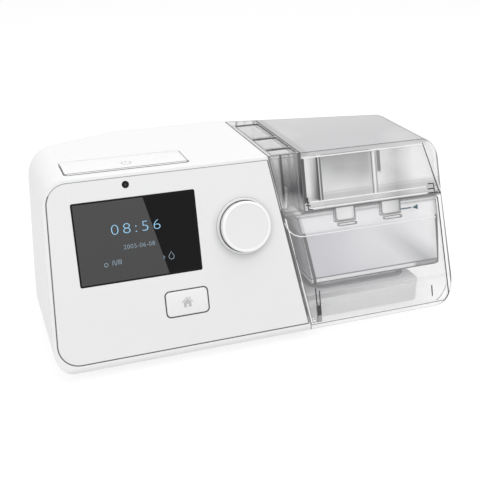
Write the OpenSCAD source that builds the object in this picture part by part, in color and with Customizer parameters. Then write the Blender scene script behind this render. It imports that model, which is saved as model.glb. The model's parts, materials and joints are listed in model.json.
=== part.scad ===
// Bedside bilevel air pressure machine with a slide-on heated water tank.
// Millimetres. X is the width, Y goes to the back, Z is up.
// The origin is the middle of the footprint, on the table.

/* [Overall] */
// Width of the main unit, from its left side to the top of the seam with the tank
main_w = 141; // [139:1:160]
// Width of the tank, from the top of the seam to its right side
tank_w = 124; // [118:1:135]
// Depth of the main unit
body_d = 122.5; // [121:0.5:135]
// Height of the top face above the table
overall_h = 114; // [113:1:122]
// Height of the feet
foot_h = 5; // [4:0.5:6]
// Lean of the front face
panel_tilt = 16.95; // [15:0.05:18]
// Lean of the seam between main unit and tank
seam_lean = 10; // [8:0.5:11]
// Lean of the left side
side_lean = 2.9; // [1:0.1:4]
// Lean of the right side below the lid
tank_lean = 4.1; // [3:0.1:5]
// Lean of the right side of the lid
lid_lean = 0; // [-1:0.1:2]

/* [Casing] */
// Wall of the main casing
wall = 2.4; // [2:0.1:3]
// Rounding of the two left corners seen from the front
side_r = 16; // [14:0.5:18]
// How far the slant of the rear left corner reaches along the back
slant_x = 80; // [74:1:84]
// How far the slant of the rear left corner reaches along the left side
slant_y = 32; // [26:1:34]
// Rounding where the slant meets the left side
rear_r = 22; // [16:1:26]
// Rounding where the slant meets the back
slant_r = 60; // [30:5:70]
// Rounding of the edge between top and back
top_r = 7.5; // [4:0.5:9]
// Rounding of the lower front edge
toe_r = 4; // [3:0.5:5]
// Play between pieces that seat in each other
play = 0.15; // [0.1:0.05:0.2]
// Gap between pieces that move past each other
gap = 0.35; // [0.3:0.05:0.45]

/* [Front panel] */
// Thickness of the front panel
panel_t = 2.4; // [2:0.1:2.6]
// Height of the panel's lower edge above the table
panel_foot_z = 11.3; // [11:0.1:12]
// Distance of the panel's upper edge below the top face
panel_drop = 2; // [1.8:0.1:2.2]
// Width of the casing rim round the panel
panel_rim = 2.5; // [2.4:0.05:3]
// Rounding of the panel's left corners
panel_r = 12.5; // [11:0.5:14]
// Width of the ledge that carries the panel
ledge_w = 3; // [2:0.5:4]
// Width of the screen window
screen_w = 73; // [70:0.5:75]
// Height of the screen window along the panel
screen_l = 48.4; // [46:0.1:50]
// Thickness of the screen window
screen_t = 1.8; // [1.4:0.1:2]
// Place of the screen's middle from the left side, in percent of the unit's width
screen_x = 39.93; // [38.5:0.01:41.1]
// Height of the screen's middle along the panel, in percent of the panel's length
screen_v = 65.59; // [62.7:0.01:66.5]
// Diameter of the light sensor's lens
sensor_d = 4; // [3:0.1:5]
// Place of the light sensor from the left side, in percent of the unit's width
sensor_x = 37.23; // [34:0.01:42.5]
// Height of the light sensor along the panel, in percent of the panel's length
sensor_v = 95.75; // [95:0.01:95.95]

/* [Knob] */
// Diameter of the knob
knob_d = 31; // [28:0.5:32]
// How far the knob stands out of the panel
knob_h = 6; // [5:0.5:8]
// Outer diameter of the collar round the knob
collar_d = 34.6; // [34:0.2:37]
// How far the collar stands out of the panel
collar_h = 0.9; // [0.6:0.1:1.2]
// Place of the knob's middle from the left side, in percent of the unit's width
knob_x = 86.31; // [85.1:0.01:87.2]
// Height of the knob's middle along the panel, in percent of the panel's length
knob_v = 63.93; // [60.8:0.01:66.5]
// Diameter of the encoder's shaft
shaft_d = 6; // [5:0.5:6]
// How far the knob presses in
knob_press = 0.8; // [0.5:0.1:0.9]
// Running clearance round shafts and pins
run_fit = 0.06; // [0.03:0.01:0.1]

/* [Buttons] */
// Width of the home button
home_w = 25.7; // [24:0.1:27]
// Height of the home button along the panel
home_l = 14.95; // [14:0.05:16]
// Corner rounding of the home button
home_r = 2.5; // [2:0.1:4]
// Place of the home button's middle from the left side, in percent of the unit's width
home_x = 57.66; // [55.3:0.01:59.5]
// Height of the home button's middle along the panel, in percent of the panel's length
home_v = 25.31; // [23.8:0.01:27.5]
// Travel of the home button
home_press = 0.8; // [0.5:0.1:1]
// Width of the start button on top
start_w = 73.5; // [70:0.5:76]
// Depth of the start button
start_d = 24; // [22:0.5:26]
// Place of the start button's middle from the left side, in percent of the unit's width
start_x = 40.07; // [39:0.01:41.1]
// Distance from the start button's front edge to the front foot of the casing
start_y = 38.6; // [38:0.2:41]
// Thickness of the start button
start_t = 2; // [1.6:0.1:2.2]
// Diameter of the start button's hinge rod
rod_d = 2; // [1.6:0.2:2.4]
// Seam round the home button
seam = 0.3; // [0.3:0.05:0.4]
// Seam round the start button
start_seam = 0.45; // [0.45:0.05:0.55]
// Diameter of the stems that press the switches
stem_d = 3.4; // [3:0.1:3.6]

/* [Display and boards] */
// Thickness of the circuit boards
board_t = 1.6; // [1.2:0.1:1.8]
// Thickness of the display module
lcd_t = 5; // [4:0.5:5.5]
// Margin of the display module round the window
lcd_margin = 2; // [1.5:0.1:2.2]
// Distance of the main board's right edge from the top of the seam
board_in = 12.5; // [11.5:0.5:13.5]
// Distance of the main board's upper edge below the panel's, along the panel
board_drop = 8.3; // [6:0.1:10]
// Side of the small switches
switch_a = 6; // [6:0.5:8]
// Height of the small switches
switch_h = 3; // [2.6:0.1:3]

/* [Blower] */
// Distance of the blower's middle from the top of the seam
blower_x = 46.5; // [46:0.5:47]
// Distance of the blower's axis from the front foot of the casing
blower_y = 79.5; // [79:0.5:80]
// Distance of the blower's middle below the top face
blower_drop = 24; // [24:0.5:25]
// Diameter of the impeller
impeller_d = 42; // [38:1:42]
// Number of impeller blades
blade_count = 11; // [7:1:13]
// Height of the impeller blades
blade_h = 11; // [9:0.5:12]
// Inner radius of the volute at its tongue
volute_r = 23.5; // [22.5:0.5:24]
// Growth of the volute's radius over one turn
volute_grow = 8.5; // [6:0.5:9]
// Inner height of the volute
volute_h = 18; // [17:0.5:19]
// Wall of the blower's housings and ducts
duct_wall = 1.6; // [1.2:0.1:1.8]
// Inner diameter of the blower's outlet
port_d = 16; // [15:0.5:16.5]
// Distance of the outlet from the blower's axis
port_off = 24; // [23.5:0.5:24.5]
// Diameter of the motor
motor_d = 34; // [30:1:36]
// Height of the motor
motor_h = 20; // [18:1:22]
// Diameter of the motor's shaft
motor_shaft_d = 3; // [2.5:0.5:4]
// Height of the silicone bushes under the blower
bush_h = 7; // [5:0.5:9]

/* [Rear filter] */
// Width of the filter recess in the back
filter_w = 44; // [40:1:45]
// Height of the filter recess
filter_l = 46; // [40:1:48]
// Depth of the filter recess
filter_deep = 8; // [7:0.5:9]
// Distance of the filter recess's middle from the top of the seam
filter_x = 26.5; // [26:0.5:27.5]
// Distance of the filter recess's upper edge below the top face
filter_drop = 18; // [17:0.5:24]
// Thickness of the filter pad
pad_t = 3.2; // [2:0.2:3.4]
// Thickness of the filter door
door_t = 2.2; // [1.8:0.1:2.4]
// Diameter of the filter door's pin
door_pin_d = 1.6; // [1.4:0.1:1.8]
// Number of slots in the filter door
door_slots = 6; // [4:1:7]

/* [Power inlet] */
// Distance of the power inlet from the top of the seam
jack_x = 18.5; // [15:0.5:25]
// Height of the power inlet's middle
jack_z = 22; // [21:0.5:24]
// Bore of the power inlet
jack_d = 6.4; // [6:0.1:6.6]
// Depth of the power inlet's bore
jack_deep = 9.5; // [8:0.5:10]
// Centre pin of the power inlet
jack_pin_d = 2; // [1.6:0.1:2.6]

/* [Heater] */
// Height of the heater base's top above the table
heater_top = 22.5; // [22:0.1:23]
// Distance of the heater base's front from the front foot of the casing
heater_y = 10.5; // [9.5:0.5:12]
// Depth of the heater base
heater_d = 78; // [76:0.5:79]
// Distance of the heater base's end from the right side of the tank
heater_end = 20.5; // [19:0.5:23]
// Width of the heater plate
plate_w = 66; // [62:1:66]
// Depth of the heater plate
plate_d = 56; // [50:1:57]
// How far the heater plate stands out of the base
plate_up = 2.7; // [2.4:0.1:3]
// Corner rounding of the heater plate
plate_r = 8; // [6:1:12]

/* [Tank] */
// Wall of the tank's clear mouldings
clear_wall = 2.4; // [2:0.1:2.6]
// Rounding of the tank's lower right corner
tank_r = 19; // [16:1:20]
// Rounding of the lid's upper right corner
lid_r = 14; // [12:1:15]
// Rounding of the tank's rear right corner seen from above
tank_rear_r = 12; // [8:1:14]
// Distance from the tank's rear left edge to the front foot of the casing
tank_back = 112; // [110:0.5:113]
// Slant of the tank's back seen from above
back_slant = 10.1; // [8:0.1:11]
// Height of the lid above the tank's rim
lid_h = 35.6; // [35:0.1:36.5]
// Width of the ribbed strip beside the lid
strip_w = 21.5; // [20.5:0.5:22]
// Distance of the tub's front crease below the rim
crease_drop = 14.4; // [12.4:0.2:18.4]
// Space between the tub and the shell at the front
tub_space = 0.8; // [0.5:0.1:1.2]
// Wall of the water tub
tub_wall = 2; // [1.6:0.1:2.2]
// Lean of the tub's front and back below the crease
tub_lean = 10; // [6:0.5:11]
// Width of the lid's inner rim
lid_rim = 4.3; // [4:0.1:5]
// Height of the lid's inner rim
lid_rim_h = 2; // [1.6:0.1:2.4]
// Thickness of the lid seal
seal_t = 1.5; // [1.2:0.1:1.6]
// Width of the snap tabs of the lid
tab_w = 13; // [10:0.5:14]
// Length of the snap tabs along the front
tab_l = 8.2; // [7:0.1:9]
// Diameter of the lid's hinge pin
pin_d = 2.4; // [2:0.1:2.8]
// Radius of the hinge knuckles
knuckle_r = 3; // [2.6:0.1:3.2]
// Distance of the hinge axis behind the tank's back
pin_out = 4; // [3.8:0.1:4.2]
// Turn of the narrow facet at the tank's front right edge
facet_turn = 15; // [10:1:25]

/* [Hose connector] */
// Outer diameter of the connector's end
hose_d = 22; // [22:0.1:22.4]
// Length of the connector's taper
hose_l = 21.6; // [20:0.2:26]
// Bore of the connector
hose_bore = 17; // [16:0.5:18]
// Outer diameter of the connector's neck
neck_d = 14.8; // [13:0.1:15]
// Bore of the connector's neck
neck_bore = 12; // [10:0.5:12]
// Distance of the hose connector's middle below the top face
hose_drop = 23; // [21:0.5:24]

/* [Feet] */
// Diameter of the rubber feet
foot_d = 13; // [10:0.5:14]
// How deep a foot sits in its pocket
foot_seat = 1.2; // [0.8:0.1:1.4]

/* [Hidden] */
$fn = 48;
arc_step = 7.5;
e = 0.01;
far = 400;

white = "white";
grey = "gainsboro";
clear = [0.78, 0.79, 0.82, 0.5];
steel = "silver";
dark = [0.15, 0.15, 0.16];
green = [0.1, 0.35, 0.2];
rubber = [0.3, 0.3, 0.32];

overall_w = main_w + tank_w;
left_x = -overall_w / 2;
right_x = overall_w / 2;
seam_x = left_x + main_w;
top_z = overall_h;
rim_z = top_z - lid_h;
crease_z = rim_z - crease_drop;
blower_z = top_z - blower_drop;
hose_z = top_z - hose_drop;
base_z = foot_h;
neck_l = body_d - tank_back + 1.1;
overall_d = body_d + 0.6 + hose_l + 0.3;
front_y = -overall_d / 2;
back_y = front_y + body_d;

// Lines of the outside, and the y or x that each has at a height
lean_out = 1 / cos(panel_tilt);
function panel_y(z) = front_y - toe_r * (lean_out - 1) + (z - base_z - toe_r) * tan(panel_tilt);
function seam_at(z) = seam_x + (top_z - z) * tan(seam_lean);
function side_at(z) = left_x - side_r * (1 / cos(side_lean) - 1) + (z - base_z - side_r) * tan(side_lean);
function right_at(z) = right_x + tank_r * (1 / cos(tank_lean) - 1) - (z - base_z - tank_r) * tan(tank_lean);
function lid_right_at(z) = right_at(rim_z) - (z - rim_z) * tan(lid_lean);
function back_at(x) = front_y + tank_back - (x - seam_x) * tan(back_slant);
function up_panel(z) = (z - panel_foot_z) / cos(panel_tilt);
function panel_z(v) = panel_foot_z + v * cos(panel_tilt);

// Outline with rounded corners, each given as [x, y, radius]
function unit(v) = v / norm(v);
function corner(a, b, c) =
    let (
        p = [b[0], b[1]],
        u = unit([a[0], a[1]] - p),
        w = unit([c[0], c[1]] - p),
        half = acos(max(-1, min(1, u * w))) / 2,
        mid = p + unit(u + w) * b[2] / sin(half),
        s = p + u * b[2] / tan(half) - mid,
        t = p + w * b[2] / tan(half) - mid,
        a0 = atan2(s[1], s[0]),
        turn = ((atan2(t[1], t[0]) - a0 + 540) % 360) - 180,
        n = max(1, ceil(abs(turn) / arc_step))
    )
    b[2] <= 0 ? [p] : [for (i = [0:n]) mid + b[2] * [cos(a0 + turn * i / n), sin(a0 + turn * i / n)]];
function rounded(c) = [
    for (i = [0:len(c) - 1]) each corner(c[(i + len(c) - 1) % len(c)], c[i], c[(i + 1) % len(c)])
];
function block(w, l, r) = rounded([[-w / 2, -l / 2, r], [w / 2, -l / 2, r], [w / 2, l / 2, r],
    [-w / 2, l / 2, r]]);
function box_outline(x0, y0, x1, y1, r) = rounded([[x0, y0, r], [x1, y0, r], [x1, y1, r], [x0, y1, r]]);

// Extrusions of a [y, z], an [x, z] and an [x, y] outline
module along_x(x0, x1) translate([x0, 0, 0]) rotate([90, 0, 90]) linear_extrude(x1 - x0) children();
module along_y(y0, y1) translate([0, y1, 0]) rotate([90, 0, 0]) linear_extrude(y1 - y0) children();
module along_z(z0, z1) translate([0, 0, z0]) linear_extrude(z1 - z0) children();
// Places [x, distance up the panel, height out of the panel], and an extrusion there
module on_panel() translate([0, panel_y(panel_foot_z), panel_foot_z]) rotate([90 - panel_tilt, 0, 0])
    children();
module out_of_panel(n0, n1) on_panel() translate([0, 0, n0]) linear_extrude(n1 - n0) children();
module slab(x0, y0, z0, x1, y1, z1) translate([x0, y0, z0]) cube([x1 - x0, y1 - y0, z1 - z0]);
module rod(r, h) cylinder(r = r, h = h);

slant_turn = atan2(slant_y, slant_x);
function rear_at(x) = back_y - slant_y + (x - left_x + 0.2) * slant_y / slant_x;
// Main unit's outside, drawn in by i, and in by f at the front
function body_face(i) =
    let (zb = base_z + i, zt = top_z - i, s = i / cos(side_lean), m = i / cos(seam_lean))
    rounded([
        [side_at(zb) + s, zb, side_r - i], [seam_at(zb) - m, zb, 0],
        [seam_at(zt) - m, zt, 0], [side_at(zt) + s, zt, side_r - i]
    ]);
function body_profile(i, f) =
    let (zb = base_z + i, zt = top_z - i)
    rounded([
        [panel_y(zb) + f * lean_out, zb, max(0.5, toe_r - i)], [back_y - i, zb, 2],
        [back_y - i, zt, top_r - i], [panel_y(zt) + f * lean_out, zt, 0.5]
    ]);
module body_solid(i, f) {
    intersection() {
        along_y(front_y - 1, back_y + 1) polygon(body_face(i));
        along_x(left_x - 1, right_x) polygon(body_profile(i, f));
        along_z(0, top_z + 1) polygon(rounded([
            [left_x - 0.2 + i, front_y - 2, 0], [right_x, front_y - 2, 0], [right_x, back_y - i, 0],
            [left_x - 0.2 + slant_x + i * tan(slant_turn / 2), back_y - i, slant_r - i],
            [left_x - 0.2 + i, back_y - slant_y - i * tan(45 - slant_turn / 2), rear_r - i]
        ]));
    }
}

// The panel's outline in [x, distance up the panel], grown by g
panel_top_z = top_z - panel_drop;
module panel_outline(g) {
    zt = panel_top_z;
    zb = panel_foot_z;
    polygon(rounded([
        [side_at(zb) + panel_rim - g, -g, panel_r + g], [seam_at(zb) - 0.6 + g, -g, 0.5],
        [seam_at(zt) - 0.6 + g, up_panel(zt) + g, 0.5],
        [side_at(zt) + panel_rim - g, up_panel(zt) + g, panel_r + g]
    ]));
}

// Places on the panel, as [x, distance up the panel]
panel_len = up_panel(panel_top_z);
function on_face(x, v) = [left_x + main_w * x / 100, panel_len * v / 100];
screen_at = on_face(screen_x, screen_v);
sensor_at = on_face(sensor_x, sensor_v);
knob_at = on_face(knob_x, knob_v);
home_at = on_face(home_x, home_v);
lcd_back = -panel_t - 0.1 - lcd_t;
board_front = lcd_back - 0.3;
board_back = board_front - board_t;
bore_shaft = shaft_d / 2 + run_fit;
board_x0 = screen_at[0] - screen_w / 2 - lcd_margin - 7.3;
board_v0 = 13;
board_w = seam_x - board_in - board_x0;
board_l = panel_len - board_drop - board_v0;
standoffs = [
    [board_x0 + 3.5, board_v0 + 4], [board_x0 + board_w - 4, board_v0 + 4],
    [board_x0 + 3.5, board_v0 + board_l - 4], [board_x0 + board_w - 4, board_v0 + board_l - 4]
];

module front_panel() {
    color(grey) difference() {
        union() {
            out_of_panel(-panel_t, 0) panel_outline(0);
            for (p = standoffs)
                on_panel() translate([p[0], p[1], board_front]) rod(2.8, -board_front - 1);
        }
        on_panel() {
            translate([screen_at[0], screen_at[1], -screen_t - play]) linear_extrude(9)
                polygon(block(screen_w + 2 * play, screen_l + 2 * play, 1.2));
            translate([screen_at[0], screen_at[1], -9]) linear_extrude(9)
                polygon(block(screen_w - 3, screen_l - 3, 1));
            translate([sensor_at[0], sensor_at[1], -9]) rod(sensor_d / 2 + play, 18);
            translate([knob_at[0], knob_at[1], -5]) rod(encoder_neck_r + play, 10);
            translate([home_at[0], home_at[1], -9]) linear_extrude(18)
                polygon(block(home_w + 2 * seam, home_l + 2 * seam, home_r + seam));
            for (p = standoffs)
                translate([p[0], p[1], board_front - 1]) rod(1.1, -board_front - 1.4);
        }
    }
}

module screen_window() {
    color(dark) on_panel() translate([screen_at[0], screen_at[1], -screen_t])
        linear_extrude(screen_t) polygon(block(screen_w, screen_l, 1));
}

module sensor_lens() {
    color(dark) on_panel() translate([sensor_at[0], sensor_at[1], 0]) {
        translate([0, 0, -panel_t]) rod(sensor_d / 2, panel_t + 0.1);
        translate([0, 0, -panel_t - 0.9]) rod(sensor_d / 2 + 0.8, 0.9);
    }
}

module lcd_module() {
    color(steel) on_panel() translate([screen_at[0], screen_at[1], lcd_back])
        linear_extrude(lcd_t) polygon(block(screen_w + 2 * lcd_margin, screen_l + 2 * lcd_margin, 1));
}

module main_board() {
    color(green) difference() {
        on_panel() {
            translate([board_x0, board_v0, board_back]) cube([board_w, board_l, board_t]);
            translate([screen_at[0] - 12, 60, board_back - 1.4]) cube([14, 14, 1.5]);
            translate([screen_at[0] + 14, 66, board_back - 1]) cube([9, 6, 1.1]);
            translate([ribbon_x - 1, board_v0 + 1, board_back - 3]) cube([ribbon_w + 2, 6, 3.1]);
            translate([knob_at[0] - 2, 32, board_back - 2.4]) rod(4, 2.5);
        }
        on_panel() for (p = standoffs)
            translate([p[0], p[1], board_back - 1]) rod(1.3, board_t + 2);
    }
}

module board_screws() {
    color(steel) on_panel() for (p = standoffs) {
        translate([p[0], p[1], board_back - 1.5]) rod(2.2, 1.5);
        translate([p[0], p[1], board_back - 0.1]) rod(1.05, 5);
    }
}

// Rotary encoder: a housing on the board with a threaded neck through the panel
encoder_a = 12;
encoder_neck_r = shaft_d / 2 + 1;
encoder_top = -panel_t - 0.15;
plunger_r = 1.5;
plunger_n = board_front + 1.2;
module encoder_body() {
    color(steel) on_panel() translate([knob_at[0], knob_at[1], 0]) difference() {
        union() {
            translate([-encoder_a / 2, -encoder_a / 2, board_front])
                cube([encoder_a, encoder_a, encoder_top - board_front]);
            translate([0, 0, encoder_top - 1]) rod(encoder_neck_r, -encoder_top + 1.2);
        }
        translate([0, 0, plunger_n + 0.9]) rod(bore_shaft, 20);
        translate([0, 0, board_front - 1]) rod(plunger_r + run_fit, 20);
    }
}

module encoder_plunger() {
    color(steel) on_panel() translate([knob_at[0], knob_at[1], plunger_n]) rod(plunger_r, 1.7);
}

module encoder_shaft() {
    color(steel) on_panel() translate([knob_at[0], knob_at[1], plunger_n + 2]) difference() {
        rod(shaft_d / 2, knob_h - 1.6 - plunger_n - 2);
        translate([shaft_d / 2 - 1.2, -5, 5 - plunger_n]) cube([5, 10, 10]);
    }
}

module knob_collar() {
    color(grey) on_panel() translate([knob_at[0], knob_at[1], 0]) difference() {
        rod(collar_d / 2, collar_h);
        translate([0, 0, -1]) rod(knob_d / 2 - 2.5, 4);
    }
}

knob_n = collar_h + gap + knob_press;
module control_knob() {
    color(white) on_panel() translate([knob_at[0], knob_at[1], 0]) difference() {
        union() {
            translate([0, 0, knob_n]) rod(knob_d / 2, knob_h - 0.8 - knob_n);
            translate([0, 0, knob_h - 0.8 - e]) cylinder(r1 = knob_d / 2, r2 = knob_d / 2 - 1.3,
                h = 0.8 + e);
        }
        translate([0, 0, -1]) difference() {
            rod(knob_d / 2 - 2, knob_h - 0.4);
            rod(shaft_d / 2 + 2, 20);
        }
        translate([0, 0, -1]) difference() {
            rod(shaft_d / 2 + 0.02, knob_h - 0.5);
            translate([shaft_d / 2 - 1.15, -5, 6.1]) cube([5, 10, 10]);
        }
    }
}

// Home button: a cap with a flange behind the panel and a stem into its switch
module home_button() {
    color(white) on_panel() translate([home_at[0], home_at[1], 0]) {
        translate([0, 0, -panel_t - 0.4]) linear_extrude(panel_t + 0.7)
            polygon(block(home_w, home_l, home_r));
        translate([0, 0, -panel_t - gap - 0.9]) linear_extrude(0.9)
            polygon(block(home_w + 3, home_l + 3, home_r));
        translate([0, 0, board_front + switch_h - 1]) rod(stem_d / 2, -panel_t - board_front - switch_h);
    }
}

module switch_body() {
    difference() {
        translate([-switch_a / 2, -switch_a / 2, 0]) cube([switch_a, switch_a, switch_h]);
        translate([0, 0, switch_h - 2.2]) rod(stem_d / 2 + gap, 5);
    }
}

module home_switch() {
    color(dark) on_panel() translate([home_at[0], home_at[1], board_front]) switch_body();
}

// Start button on top, which turns about a rod near its rear edge
start_y0 = front_y + start_y;
start_y1 = start_y0 + start_d;
start_cx = left_x + main_w * start_x / 100;
rod_y = start_y1 - 2.6;
rod_z = top_z - wall - 2.9;
lug_dx = start_w / 2 - 12;
start_board_z = rod_z - 4.4 - board_t;
switch_y = start_y0 + 8;
module start_lug() {
    along_x(-1.5, 1.5) union() {
        translate([rod_y, rod_z]) circle(2.2);
        translate([rod_y - 2.2, rod_z]) square([4.4, top_z - start_t - rod_z + 0.2]);
    }
}

module start_button() {
    color(white) difference() {
        union() {
            along_z(top_z - start_t, top_z) polygon(box_outline(start_cx - start_w / 2, start_y0,
                start_cx + start_w / 2, start_y1, 2.5));
            for (s = [-1, 1]) translate([start_cx + s * lug_dx, 0, 0]) start_lug();
            translate([start_cx, switch_y, start_board_z + board_t + switch_h - 1])
                rod(stem_d / 2, top_z - start_t - start_board_z - board_t - switch_h + 1.1);
        }
        along_x(start_cx - start_w, start_cx + start_w) translate([rod_y, rod_z])
            circle(rod_d / 2 + run_fit);
    }
}

module start_hinge_rod() {
    color(steel) along_x(start_cx - lug_dx - 5, start_cx + lug_dx + 5) translate([rod_y, rod_z])
        circle(rod_d / 2);
}

start_posts = [-10, 10];
start_post_y = start_y1 + 4;
module start_board() {
    color(green) translate([0, 0, start_board_z]) {
        difference() {
            slab(start_cx - 14, start_y0 + 3, 0, start_cx + 14, start_post_y + 3, board_t);
            for (dx = start_posts) translate([start_cx + dx, start_post_y, -1]) rod(1.3, 5);
        }
        translate([start_cx, switch_y, board_t - e]) switch_body();
    }
}

module start_board_screws() {
    color(steel) for (dx = start_posts) translate([start_cx + dx, start_post_y, 0]) {
        translate([0, 0, start_board_z - 1.5]) rod(2.2, 1.5);
        translate([0, 0, start_board_z - 0.1]) rod(1.05, board_t + 4);
    }
}

// Blower: a spiral housing in two halves round the impeller, with a pipe to the right
blower_cx = seam_x - blower_x;
blower_cy = front_y + blower_y;
port_y = blower_cy - port_off;
vol_z0 = blower_z - volute_h / 2 - duct_wall;
vol_z1 = blower_z + volute_h / 2 + duct_wall;
pipe_r = port_d / 2 + duct_wall;
pipe_end = blower_cx + 32;
lug_reach = volute_r + 14.5;
lug_r = 4;
lug_angles = [30, 150, 270];
eye_r = 14;
function spiral(g) = [for (a = [0:10:350]) (volute_r + g + volute_grow * a / 350) * [cos(a - 80),
    sin(a - 80)]];
module volute_halves(g) {
    translate([blower_cx, blower_cy, vol_z0 + duct_wall - g]) linear_extrude(volute_h + 2 * g)
        polygon(spiral(g));
    along_x(blower_cx, pipe_end) translate([port_y, blower_z]) circle(port_d / 2 + g);
}
module volute_shell() {
    difference() {
        union() {
            volute_halves(duct_wall);
            for (a = lug_angles) translate([blower_cx, blower_cy, vol_z0]) rotate([0, 0, a]) {
                translate([volute_r, -lug_r, 0]) cube([lug_reach - volute_r, 2 * lug_r, 3]);
                translate([lug_reach, 0, 0]) rod(lug_r, 3);
            }
        }
        volute_halves(0);
        along_x(pipe_end - 1, pipe_end + 1) translate([port_y, blower_z]) circle(port_d / 2);
        for (a = lug_angles) translate([blower_cx, blower_cy, vol_z0 - 1]) rotate([0, 0, a])
            translate([lug_reach, 0, 0]) rod(bush_pin_r + play, 6);
        translate([blower_cx, blower_cy, 0]) rod(5, blower_z);
        intersection() {
            translate([blower_cx, blower_cy, blower_z]) rod(eye_r, 60);
            slab(-far, hood_y0 + duct_wall, 0, far, far, far);
        }
    }
}

module volute_lower() {
    color(grey) intersection() {
        volute_shell();
        along_z(0, blower_z - 0.05) square(far, center = true);
    }
}

module volute_upper() {
    color(grey) intersection() {
        volute_shell();
        along_z(blower_z + 0.05, far) square(far, center = true);
    }
}

// Each blade bends back along an arc between the hub and the rim
hub_r = 7;
impeller_z = vol_z0 + duct_wall + 1.5;
blade_t = 0.9;
function blade_line(s) = [for (i = [0:8])
    let (r = hub_r - 1 + (impeller_d / 2 - hub_r + 0.9) * i / 8,
        a = 42 * (r / (impeller_d / 2)) + s * 28.6 * blade_t / r)
    r * [cos(a), sin(a)]];
function reverse(v) = [for (i = [len(v) - 1:-1:0]) v[i]];
module impeller() {
    color(white) translate([blower_cx, blower_cy, impeller_z]) difference() {
        union() {
            rod(impeller_d / 2, 1.2);
            rod(hub_r, blade_h);
            for (k = [0:blade_count - 1]) rotate([0, 0, 360 * k / blade_count])
                linear_extrude(blade_h) polygon(concat(blade_line(-1), reverse(blade_line(1))));
        }
        translate([0, 0, -1]) rod(motor_shaft_d / 2 + 0.01, blade_h - 1);
    }
}

// Motor under the volute: a can, wound stator, and a rotor on the shaft in two bearings
can_z1 = vol_z0 - 0.1;
can_z0 = can_z1 - motor_h;
can_t = 1.2;
bearing_r = 4;
bearing_h = 3;
rotor_r = motor_d / 2 - can_t - 6.5;
module motor_can() {
    color(steel) translate([blower_cx, blower_cy, 0]) difference() {
        translate([0, 0, can_z0]) rod(motor_d / 2, motor_h);
        translate([0, 0, can_z0 + can_t]) rod(motor_d / 2 - can_t, motor_h - 2 * can_t - bearing_h);
        translate([0, 0, can_z0 - 1]) rod(motor_shaft_d / 2 + 0.8, motor_h + 4);
        translate([0, 0, can_z1 - bearing_h - 0.1]) rod(bearing_r + 0.02, bearing_h + 5);
        translate([0, 0, can_z0 - 1]) rod(bearing_r + 0.02, bearing_h + 1.1);
    }
    color(steel) translate([blower_cx, blower_cy, 0]) difference() {
        translate([0, 0, can_z0 - 0.2]) rod(bearing_r + 2, bearing_h + 1);
        translate([0, 0, can_z0 - 1]) rod(bearing_r + 0.02, bearing_h + 1.1);
        translate([0, 0, can_z0 - 1]) rod(motor_shaft_d / 2 + 0.8, motor_h);
    }
}

module motor_stator() {
    h = motor_h - 2 * can_t - 2 * bearing_h - 2;
    color([0.72, 0.45, 0.2]) translate([blower_cx, blower_cy, can_z0 + bearing_h + can_t + 1])
        difference() {
        rod(motor_d / 2 - can_t - 0.05, h);
        translate([0, 0, -1]) rod(rotor_r + 0.5, h + 2);
        for (k = [0:5]) rotate([0, 0, 60 * k]) translate([rotor_r + 2.6, 0, -1]) rod(1.4, h + 2);
    }
}

module rotor_shaft() {
    color(steel) translate([blower_cx, blower_cy, 0]) {
        translate([0, 0, can_z0 - 0.4]) rod(motor_shaft_d / 2, impeller_z + blade_h - 2.2 - can_z0);
        translate([0, 0, can_z0 + bearing_h + can_t + 1.2])
            rod(rotor_r, motor_h - 2 * can_t - 2 * bearing_h - 2.4);
    }
}

module motor_bearings() {
    color(steel) translate([blower_cx, blower_cy, 0]) for (z = [can_z0, can_z1 - bearing_h])
        translate([0, 0, z]) difference() {
            rod(bearing_r, bearing_h);
            translate([0, 0, -1]) rod(motor_shaft_d / 2 + run_fit / 2, bearing_h + 2);
        }
}

// Silicone bushes between the blower's lugs and the cradle that stands on the tray
bush_r = 3.6;
bush_pin_r = 1.8;
cradle_z = vol_z0 - bush_h;
cradle_t = 2.4;
tray_top = base_z + wall;
module at_lugs() {
    for (a = lug_angles)
        translate([blower_cx + lug_reach * cos(a), blower_cy + lug_reach * sin(a), 0]) children();
}
module blower_bushes() {
    color(rubber) at_lugs() {
        translate([0, 0, cradle_z]) rod(bush_r, bush_h);
        translate([0, 0, cradle_z - cradle_t + 0.2]) rod(bush_pin_r, cradle_t + bush_h + 2.6);
    }
}

cradle_reach = lug_reach + 10;
module blower_cradle() {
    color(grey) translate([blower_cx, blower_cy, 0]) difference() {
        union() {
            along_z(cradle_z - cradle_t, cradle_z)
                polygon(rounded([for (a = lug_angles) [cradle_reach * cos(a), cradle_reach * sin(a), 6]]));
            for (a = lug_angles) rotate([0, 0, a]) {
                slab(lug_reach - 9, -2, tray_top + 0.05, lug_reach - 5, 2, cradle_z - 1);
                slab(lug_reach - 11, -4, tray_top + 0.05, lug_reach - 3, 4, tray_top + 1.6);
            }
        }
        translate([0, 0, cradle_z - 9]) rod(motor_d / 2 + 2.5, 20);
        for (a = lug_angles) rotate([0, 0, a]) translate([lug_reach, 0, cradle_z - 9])
            rod(bush_pin_r + play, 20);
    }
}

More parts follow.
